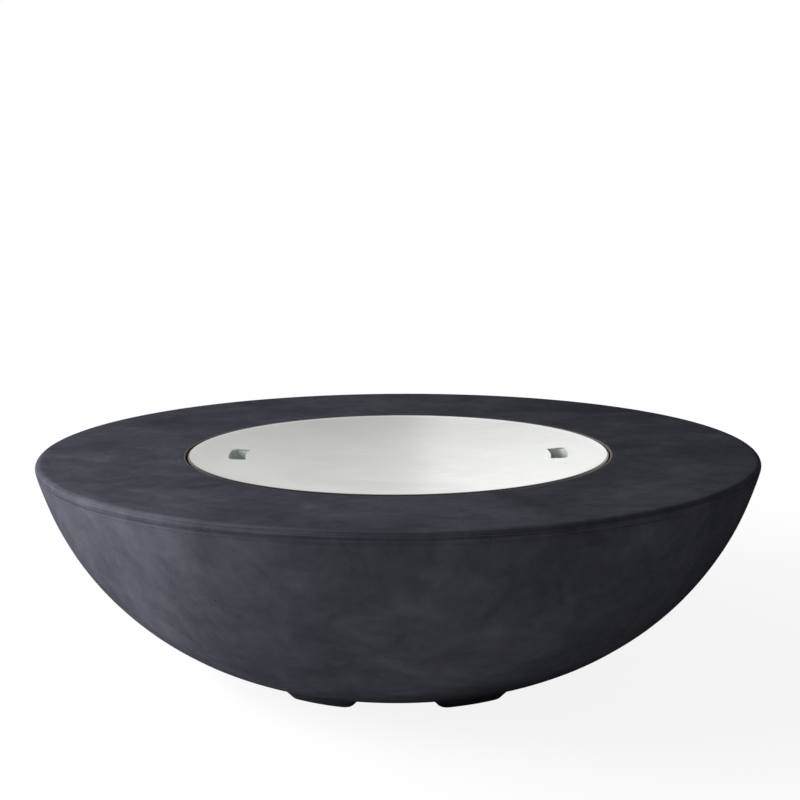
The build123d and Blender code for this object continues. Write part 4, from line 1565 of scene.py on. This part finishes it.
@dataclass
class LavaBed:
    """Loose-looking bed of lava stones on the pan's floor, under the burner's tubes."""

    shapes: int = 6
    sizes_and_tries: tuple[tuple[Point, int], ...] = (((0.0165, 0.0235), 5000), ((0.010, 0.014), 6000))
    nest: float = 0.9
    hub_clear: float = 0.027
    wall_radius: float = 0.327
    pilot_y: float = 0.256
    pilot_half: Point = (0.037, 0.021)
    seed: int = 23
    rough: float = 0.26
    rough_seed: int = 40
    cuts: int = 3
    cut_depths: Point = (0.62, 0.8)
    flatness: Point = (0.75, 0.95)
    room_share: float = 0.97
    sink: float = 0.96
    crease: float = 28.0

    def __post_init__(self) -> None:
        """Take the bed's levels from the frame."""
        low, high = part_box("lava_rocks")
        self.floor_z = low.z
        self.top_z = high.z

    def way(self, draw: random.Random) -> Vector:
        """Random direction, of any length."""
        return Vector([draw.gauss(0.0, 1.0) for _ in range(3)])

    def stone(self, draw: random.Random, number: int) -> Bench:
        """One rough stone of unit size with a few dozen faces.

        Args:
            draw: Source of chance.
            number: Number of the shape.

        Returns:
            The stone at the origin.
        """
        stone = Bench.pebble(f"stone_{number}")
        with stone.editing():
            bpy.ops.transform.vertex_random(offset=self.rough, seed=self.rough_seed + number)
            for _ in range(self.cuts):
                normal = self.way(draw).normalized()
                corner = normal * draw.uniform(*self.cut_depths)
                bpy.ops.mesh.select_all(action="SELECT")
                bpy.ops.mesh.bisect(plane_co=corner, plane_no=normal, use_fill=True, clear_outer=True)
            stone.weld()
        return stone

    def spots(self, draw: random.Random) -> list[Place]:
        """Places and sizes of the stones: big ones first, then small ones in the gaps.

        Args:
            draw: Source of chance.

        Returns:
            X, Y and radius of each stone.
        """
        found: list[Place] = []
        for sizes, tries in self.sizes_and_tries:
            for _ in range(tries):
                size = draw.uniform(*sizes)
                away = math.sqrt(draw.uniform((self.hub_clear + size) ** 2, (self.wall_radius - size) ** 2))
                x, y, _ = spot(away, draw.uniform(0.0, 360.0))
                side = abs(x) - self.pilot_half[0] - size
                deep = abs(y - self.pilot_y) - self.pilot_half[1] - size
                if side < 0.0 and deep < 0.0:
                    continue
                if all(math.hypot(x - a, y - b) > self.nest * (size + c) for a, b, c in found):
                    found.append((x, y, size))
        return found

    def build(self) -> None:
        """Model, scatter and dress the stones."""
        draw = random.Random(self.seed)
        kinds = [self.stone(draw, number) for number in range(self.shapes)]
        room = (self.top_z - self.floor_z) / 2
        groups: list[list[Matrix]] = [[] for _ in kinds]
        for x, y, size in self.spots(draw):
            spin = Matrix.Rotation(draw.uniform(0.0, math.tau), 4, self.way(draw))
            tall = min(size * draw.uniform(*self.flatness), room * self.room_share)
            lift = Matrix.Translation((x, y, self.floor_z + tall * self.sink))
            squash = Matrix.Diagonal((size, size, tall, 1.0))
            groups[draw.randrange(self.shapes)].append(lift @ squash @ spin)
        bed, *rest = [kind.copies(places) for kind, places in zip(kinds, groups)]
        bed.absorb(*rest)
        with bed.editing():
            bed.set_heights(lambda place: min(max(place.z, self.floor_z), self.top_z))
        bed.smooth(self.crease).publish("lava_bed", Body.PIT, "lava", LavaFinish().make(), "lava_rocks")


@dataclass
class PilotScrews:
    """Two pan-head screws with a cross recess that hold the pilot bracket."""

    head_radius: float = 0.0038
    head_height: float = 0.002
    head_side: float = 0.0008
    crown_start: float = 68.0
    crown_share: float = 0.9
    shank_radius: float = 0.002
    tip_share: float = 0.7
    tip_length: float = 0.001
    spacing: float = 0.048
    pilot_y: float = 0.256
    cross_width: float = 0.0009
    cross_length: float = 0.0044
    cross_depth: float = 0.0011
    cross_turns: Point = (20.0, 110.0)
    crown_steps: int = 6
    steps: int = 32
    crease: float = 30.0

    def build(self) -> None:
        """Model and dress both screws."""
        low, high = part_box("pilot_screws")
        seat, top = high.z - self.head_height, high.z
        ball = 2 * self.head_radius
        crown = arc((0.0, top - ball), ball, self.crown_start, 90.0, self.crown_steps)
        points: Section = [(0.0, low.z), (self.shank_radius * self.tip_share, low.z)]
        points += [(self.shank_radius, low.z + self.tip_length), (self.shank_radius, seat)]
        points += [(self.head_radius, seat), (self.head_radius, seat + self.head_side)]
        points += [(r, z) for r, z in crown if r < self.head_radius * self.crown_share]
        points[-1] = (0.0, top)
        screw = Bench.turned("screw", points, self.steps, closed=False)
        cross = bar(-self.cross_length / 2, self.cross_length / 2, self.cross_width / 2)
        for turn in self.cross_turns:
            slot = Bench.block("cross", cross, top + TOOL_REACH, -self.cross_depth - TOOL_REACH)
            screw.cut(slot.place(turn_about_z(turn)))
        half = self.spacing / 2
        screw.copies([Matrix.Translation((x, self.pilot_y, 0.0)) for x in (-half, half)]).smooth(self.crease)
        steel = SteelFinish("screw_zinc_plate", (0.62, 0.62, 0.58), 0.34, 700.0, smudge=0.2)
        screw.publish("pilot_screw_pair", Body.PIT, "plated_steel", steel.make(), "pilot_screws")


@dataclass
class GasKnob:
    """Fluted valve knob with a pale pointer, and the engraved trim plate behind it."""

    bottom: float = 0.0145
    height: float = 0.024
    radius: float = 0.022
    top_radius: float = 0.019
    edge_radius: float = 0.0015
    edge_start: float = 10.0
    broken_edge: float = 0.0004
    broken_angle: float = 40.0
    dish: float = 0.0009
    lip: float = 0.0012
    lip_foot: float = 0.002
    lip_share: float = 0.6
    skirt: float = 0.003
    flute_count: int = 12
    flute_radius: float = 0.004
    flute_depth: float = 0.0024
    flute_top: float = 0.002
    socket_radius: float = 0.00405
    socket_depth: float = 0.015
    pointer_width: float = 0.003
    pointer_height: float = 0.0012
    pointer_back: float = 0.0005
    pointer_sink: float = 0.0002
    bezel_radius: float = 0.030
    bezel_bore: float = 0.0104
    bezel_thickness: float = 0.0025
    bezel_edge: float = 0.001
    groove_depth: float = 0.0003
    groove: tuple[float, ...] = (2.2, 2.6, 3.0, 3.4)
    tick_depth: float = 0.0004
    tick_turns: tuple[float, ...] = (90.0, 120.0, 150.0, 180.0, 210.0, 240.0, 270.0)
    long_tick: Place = (0.0228, 0.0262, 0.0005)
    short_tick: Place = (0.0242, 0.0262, 0.0003)
    ticks_per_long_one: int = 3
    steps: int = 120
    flute_steps: int = 40
    side_steps: int = 6
    edge_steps: int = 5
    tip_steps: int = 8
    pointer_edge_steps: int = 3
    bezel_edge_steps: int = 6
    crease: float = 35.0
    bezel_crease: float = 30.0

    def __post_init__(self) -> None:
        """Find the height of the knob's face."""
        self.top = self.bottom + self.height

    def grip(self) -> Bench:
        """Turned and fluted grip with a dished face and the stem's socket.

        Returns:
            The grip, upright over the origin.
        """
        top, edge, chip = self.top, self.edge_radius, self.broken_edge
        rim = self.top_radius - edge
        socket_z = self.bottom + self.socket_depth
        points: Section = [(0.0, socket_z), (self.socket_radius, socket_z)]
        points += [(self.socket_radius, self.bottom), (self.radius - chip, self.bottom)]
        points += run((self.radius, self.bottom + chip), (self.top_radius, top - edge), self.side_steps)
        points += arc((rim, top - edge), edge, self.edge_start, 90.0, self.edge_steps)
        points += [(rim - self.lip, top), (rim - self.lip_foot, top - self.dish * self.lip_share)]
        points += [(rim / 2, top - self.dish), (0.0, top - self.dish)]
        grip = Bench.turned("grip", points, self.steps, closed=False)
        low, high = self.bottom + self.skirt, top + self.flute_top
        flute = Bench.rod("flute", self.flute_radius, low, high, self.flute_steps)
        reach = self.radius + self.flute_radius - self.flute_depth
        grip.cut(flute.copies(round_places(reach, turns(self.flute_count))))
        return grip.bevel(chip, self.broken_angle).smooth(self.crease)

    def pointer(self) -> Bench:
        """Raised pointer bar on the face, from the middle to the edge.

        Returns:
            The bar, on the upright grip.
        """
        wide = self.pointer_width / 2
        far = self.top_radius - 2 * self.edge_radius - wide
        outline = [(-wide, -self.pointer_back), (wide, -self.pointer_back), (wide, far)]
        outline += arc((0.0, far), wide, 0.0, 180.0, self.tip_steps)[1:]
        sunk = self.dish + self.pointer_sink
        pointer = Bench.block("pointer", outline, self.top - sunk, self.pointer_height + sunk)
        face = self.top + self.pointer_height - SAME_POINT
        with pointer.editing():
            pointer.pick(Element.EDGE, lambda e: min(v.co.z for v in e.verts) > face)
            bpy.ops.mesh.bevel(offset=self.broken_edge, segments=self.pointer_edge_steps)
        return pointer.smooth(self.crease)

    def bezel(self) -> Bench:
        """Round trim plate with a rolled edge and engraved marks round the knob.

        Returns:
            The plate, flat at the origin.
        """
        thick, edge = self.bezel_thickness, self.bezel_edge
        points: Section = [(self.bezel_bore, 0.0), (self.bezel_radius, 0.0)]
        middle = (self.bezel_radius - edge, thick - edge)
        points += arc(middle, edge, 0.0, 90.0, self.bezel_edge_steps)
        for share, depth in zip(self.groove, (0.0, self.groove_depth, self.groove_depth, 0.0)):
            points.append((self.bezel_radius - share * edge, thick - depth))
        plate = Bench.turned("bezel", points + [(self.bezel_bore, thick)], self.steps)
        ticks = []
        for number, turn in enumerate(self.tick_turns):
            outline = bar(*(self.short_tick if number % self.ticks_per_long_one else self.long_tick))
            tick = Bench.block("tick", outline, thick + TOOL_REACH, -TOOL_REACH - self.tick_depth)
            ticks.append(tick.place(turn_about_z(turn)))
        return plate.cut(ticks[0].absorb(*ticks[1:])).smooth(self.bezel_crease)

    def build(self, axis: Matrix) -> None:
        """Model and dress knob and trim plate.

        Args:
            axis: Place of the recess's floor, Z outwards.
        """
        black = MouldedFinish("knob_black_moulding", (0.022, 0.022, 0.024), 0.42).make()
        pale = MouldedFinish("pointer_pale_paint", (0.72, 0.72, 0.7), 0.4, variation=0.04).make()
        plate = SteelFinish("bezel_satin_chrome", (0.74, 0.75, 0.76), 0.2, 500.0).make()
        self.grip().place(axis).publish("knob_grip", Body.KNOB, "knob_plastic", black, "control_knob")
        self.pointer().place(axis).publish("knob_pointer", Body.KNOB, "knob_plastic", pale, "control_knob")
        self.bezel().place(axis).publish("knob_trim_plate", Body.PIT, "trim_chrome", plate, "knob_bezel")


@dataclass
class IgniterButton:
    """Red push button with a dished face."""

    radius: float = 0.0085
    depth: float = 0.008
    top: float = 0.008
    edge_radius: float = 0.0012
    edge_steps: int = 6
    broken_edge: float = 0.0004
    dish: float = 0.0009
    dish_shares: tuple[float, ...] = (0.85, 0.65, 0.4, 0.2, 0.0)
    steps: int = 72
    crease: float = 40.0

    def build(self, axis: Matrix) -> None:
        """Model and dress the button.

        Args:
            axis: Place of the recess's floor, Z outwards.
        """
        edge, chip = self.edge_radius, self.broken_edge
        rim = self.radius - edge
        points: Section = [(0.0, -self.depth), (self.radius - chip, -self.depth)]
        points += [(self.radius, -self.depth + chip)]
        points += arc((rim, self.top - edge), edge, 0.0, 90.0, self.edge_steps)
        points += [(rim * share, self.top - self.dish * (1.0 - share**2)) for share in self.dish_shares]
        button = Bench.turned("button", points, self.steps, closed=False).smooth(self.crease).place(axis)
        red = MouldedFinish("button_red_moulding", (0.33, 0.018, 0.012), 0.24, variation=0.05, coat=0.4)
        button.publish("igniter_push_button", Body.BUTTON, "button_plastic", red.make(), "igniter_button")


class Fittings:
    """Finishes of the solids that stay as they are: gas train, pilot group, valve and igniter."""

    def dress(self, finish: Union[SteelFinish, MouldedFinish], *nodes: str) -> None:
        """Give solids of the frame a finish.

        Args:
            finish: The finish.
            nodes: Names of the solids.
        """
        material = finish.make()
        for name in nodes:
            data = frame["nodes"][name].data
            data.materials.clear()
            data.materials.append(material)
        LOG.info("%s on %s", finish.name, ", ".join(nodes))

    def build(self) -> None:
        """Dress all remaining solids."""
        zinc = SteelFinish("zinc_plated_steel", (0.6, 0.6, 0.56), 0.36, 420.0, heat=0.12, smudge=0.22)
        brass = SteelFinish("machined_brass", (0.66, 0.46, 0.17), 0.3, 520.0, smudge=0.22)
        copper = SteelFinish("drawn_copper", (0.62, 0.31, 0.19), 0.34, 520.0, smudge=0.25)
        bare = SteelFinish("bare_rod_steel", (0.5, 0.49, 0.47), 0.33, 600.0, heat=0.25, smudge=0.2)
        chrome = SteelFinish("polished_chrome", (0.78, 0.79, 0.8), 0.12, 700.0)
        alloy = SteelFinish("die_cast_alloy", (0.55, 0.55, 0.56), 0.5, 380.0, 0.08, smudge=0.15)
        fibre = MouldedFinish("fibre_seal", (0.035, 0.035, 0.036), 0.85, 500.0, 0.0003)
        hose = MouldedFinish("hose_black_rubber", (0.02, 0.02, 0.021), 0.55, 420.0, 0.0003)
        lead = MouldedFinish("lead_silicone", (0.03, 0.03, 0.032), 0.5)
        ceramic = MouldedFinish("white_alumina", (0.78, 0.75, 0.68), 0.34, 700.0, variation=0.05, coat=0.3)
        plastic = MouldedFinish("igniter_black_moulding", (0.025, 0.025, 0.027), 0.38)
        self.dress(zinc, "hub_locknut", "air_mixer", "pilot_bracket", "pilot_guard")
        self.dress(brass, "gas_orifice", "gas_elbow", "hose_nuts", "inlet_fitting", "stem_collar")
        self.dress(copper, "thermocouple_lead")
        self.dress(bare, "spark_electrode", "thermocouple", "valve_stem")
        self.dress(chrome, "barrel_nut")
        self.dress(alloy, "valve_body")
        self.dress(fibre, "hub_gasket")
        self.dress(hose, "flex_hose")
        self.dress(lead, "ignition_lead")
        self.dress(ceramic, "electrode_insulator")
        self.dress(plastic, "igniter_body", "igniter_nut")


@dataclass
class Studio:
    """Camera of the photograph, pale floor and soft studio light."""

    eye: Place = (0.00355, -3.0583, 0.9558)
    pitch: float = 9.2475
    roll: float = -0.26
    lens: float = 81.88
    sensor: float = 36.0
    floor_radius: float = 14.0
    floor_steps: int = 96
    floor_fade: Band = Band(0.55, 1.9, 0.88, 1.0)
    floor_tones: Band = Band(0.0, 1.0, 0.84, 0.86)
    fill: float = 0.27
    mirror_sideways: Band = Band(-0.45, 0.4, 0.87, 1.0)
    mirror_upwards: Band = Band(0.2, 0.45, 1.0, 0.32)
    mirror_backwards: Band = Band(-0.2, 0.3, 0.5, 1.0)
    lamps: tuple[Lamp, ...] = (
        Lamp("key_left", (-2.3, -0.62, 1.25), (0.0, 0.0, 0.25), 1.5, 145.0, False),
        Lamp("card_right", (0.55, 1.6, 0.75), (0.25, 0.0, 0.36), 1.0, 1.2, True),
    )

    def camera(self) -> None:
        """Add the camera that matches the photograph."""
        data = bpy.data.cameras.new("camera")
        data.lens = self.lens
        data.sensor_width = self.sensor
        camera = bpy.data.objects.new("camera", data)
        bpy.context.scene.collection.objects.link(camera)
        tilt = Matrix.Rotation(math.radians(90.0 - self.pitch), 4, "X")
        camera.matrix_world = Matrix.Translation(self.eye) @ tilt @ turn_about_z(self.roll)
        bpy.context.scene.camera = camera

    def rays(self, sheet: NodeSheet) -> tuple[Socket, Socket]:
        """Shares of the rays from the camera, and of those from a mirror or glass.

        Args:
            sheet: Sheet that uses them.

        Returns:
            Two numbers, each 1 for its own rays and 0 for others.
        """
        path = sheet.add("ShaderNodeLightPath", {}).outputs
        mirrored = sheet.maths("MAXIMUM", path["Is Glossy Ray"], path["Is Transmission Ray"])
        return path["Is Camera Ray"], mirrored

    def floor(self) -> None:
        """Add a wide pale floor that keeps the object's shadow and fades to white."""
        bpy.ops.object.select_all(action="DESELECT")
        bpy.ops.mesh.primitive_circle_add(
            vertices=self.floor_steps, radius=self.floor_radius, fill_type="NGON"
        )
        floor = Bench("floor")
        sheet = NodeSheet.material("pale_floor")
        seen = sheet.maths("MAXIMUM", *self.rays(sheet))
        tone = sheet.band(seen, self.floor_tones)
        paint = sheet.add("ShaderNodeBsdfDiffuse", {"Color": sheet.vector(tone, tone, tone)})
        white = sheet.add("ShaderNodeEmission", {"Color": WHITE, "Strength": 1.0})
        share = sheet.product(sheet.band(sheet.radius(), self.floor_fade), seen)
        mix = sheet.add("ShaderNodeMixShader", {0: share, 1: paint.outputs[0], 2: white.outputs[0]})
        sheet.add("ShaderNodeOutputMaterial", {"Surface": mix.outputs[0]})
        floor.obj.data.materials.append(sheet.owner)

    def world(self) -> None:
        """White surroundings: full white to the camera, a soft sweep in metal, less as light."""
        world = bpy.data.worlds.new("studio")
        bpy.context.scene.world = world
        sheet = NodeSheet(world)
        ways = sheet.parts(sheet.add("ShaderNodeTexCoord", {}).outputs["Generated"])
        bands = (self.mirror_sideways, self.mirror_backwards, self.mirror_upwards)
        sweep = sheet.product(*[sheet.band(way, band) for way, band in zip(ways, bands)])
        camera, mirrored = self.rays(sheet)
        strength = sheet.mix(camera, sheet.mix(mirrored, self.fill, sweep), 1.0)
        background = sheet.add("ShaderNodeBackground", {"Color": WHITE, "Strength": strength})
        sheet.add("ShaderNodeOutputWorld", {"Surface": background.outputs["Background"]})

    def hang(self, lamp: Lamp) -> None:
        """Add one soft square lamp, which the camera doesn't see.

        Args:
            lamp: Its settings.
        """
        data = bpy.data.lights.new(lamp.name, "AREA")
        data.size = lamp.size
        data.energy = lamp.power
        obj = bpy.data.objects.new(lamp.name, data)
        bpy.context.scene.collection.objects.link(obj)
        obj.location = lamp.place
        obj.rotation_euler = (Vector(lamp.target) - obj.location).to_track_quat("-Z", "Y").to_euler()
        obj.visible_camera = False
        obj.visible_glossy = lamp.mirrored

    def build(self) -> None:
        """Set up the whole studio."""
        bpy.context.scene.view_settings.view_transform = "Standard"
        self.camera()
        self.floor()
        self.world()
        for lamp in self.lamps:
            self.hang(lamp)


def control_axis(mirrored: bool = False) -> Matrix:
    """Place of a control's recess floor, from the hinge of the knob.

    Args:
        mirrored: Whether the place is on the other side of the rear's middle.

    Returns:
        A matrix with its Z axis pointing outwards.
    """
    joint = next(joint for joint in frame["joints"] if joint["name"] == "knob_turn")
    origin, outwards = Vector(joint["pos_m"]), Vector(joint["axis"])
    if mirrored:
        origin.x, outwards.x = -origin.x, -outwards.x
    sideways = Vector((0.0, 0.0, 1.0)).cross(outwards).normalized()
    upwards = outwards.cross(sideways)
    turn = Matrix((sideways, upwards, outwards)).transposed().to_4x4()
    return Matrix.Translation(origin) @ turn


def main() -> None:
    """Build every sub-assembly in order."""
    logging.basicConfig(level=logging.INFO, format="%(name)s %(message)s")
    Studio().build()
    valve_axis = control_axis()
    igniter_axis = control_axis(mirrored=True)
    ConcreteBowl().build(valve_axis, igniter_axis)
    SteelLid().build()
    BurnerPan().build()
    RingBurner().build()
    LavaBed().build()
    PilotScrews().build()
    GasKnob().build(valve_axis)
    IgniterButton().build(igniter_axis)
    Fittings().build()


if __name__ == "__main__":
    main()
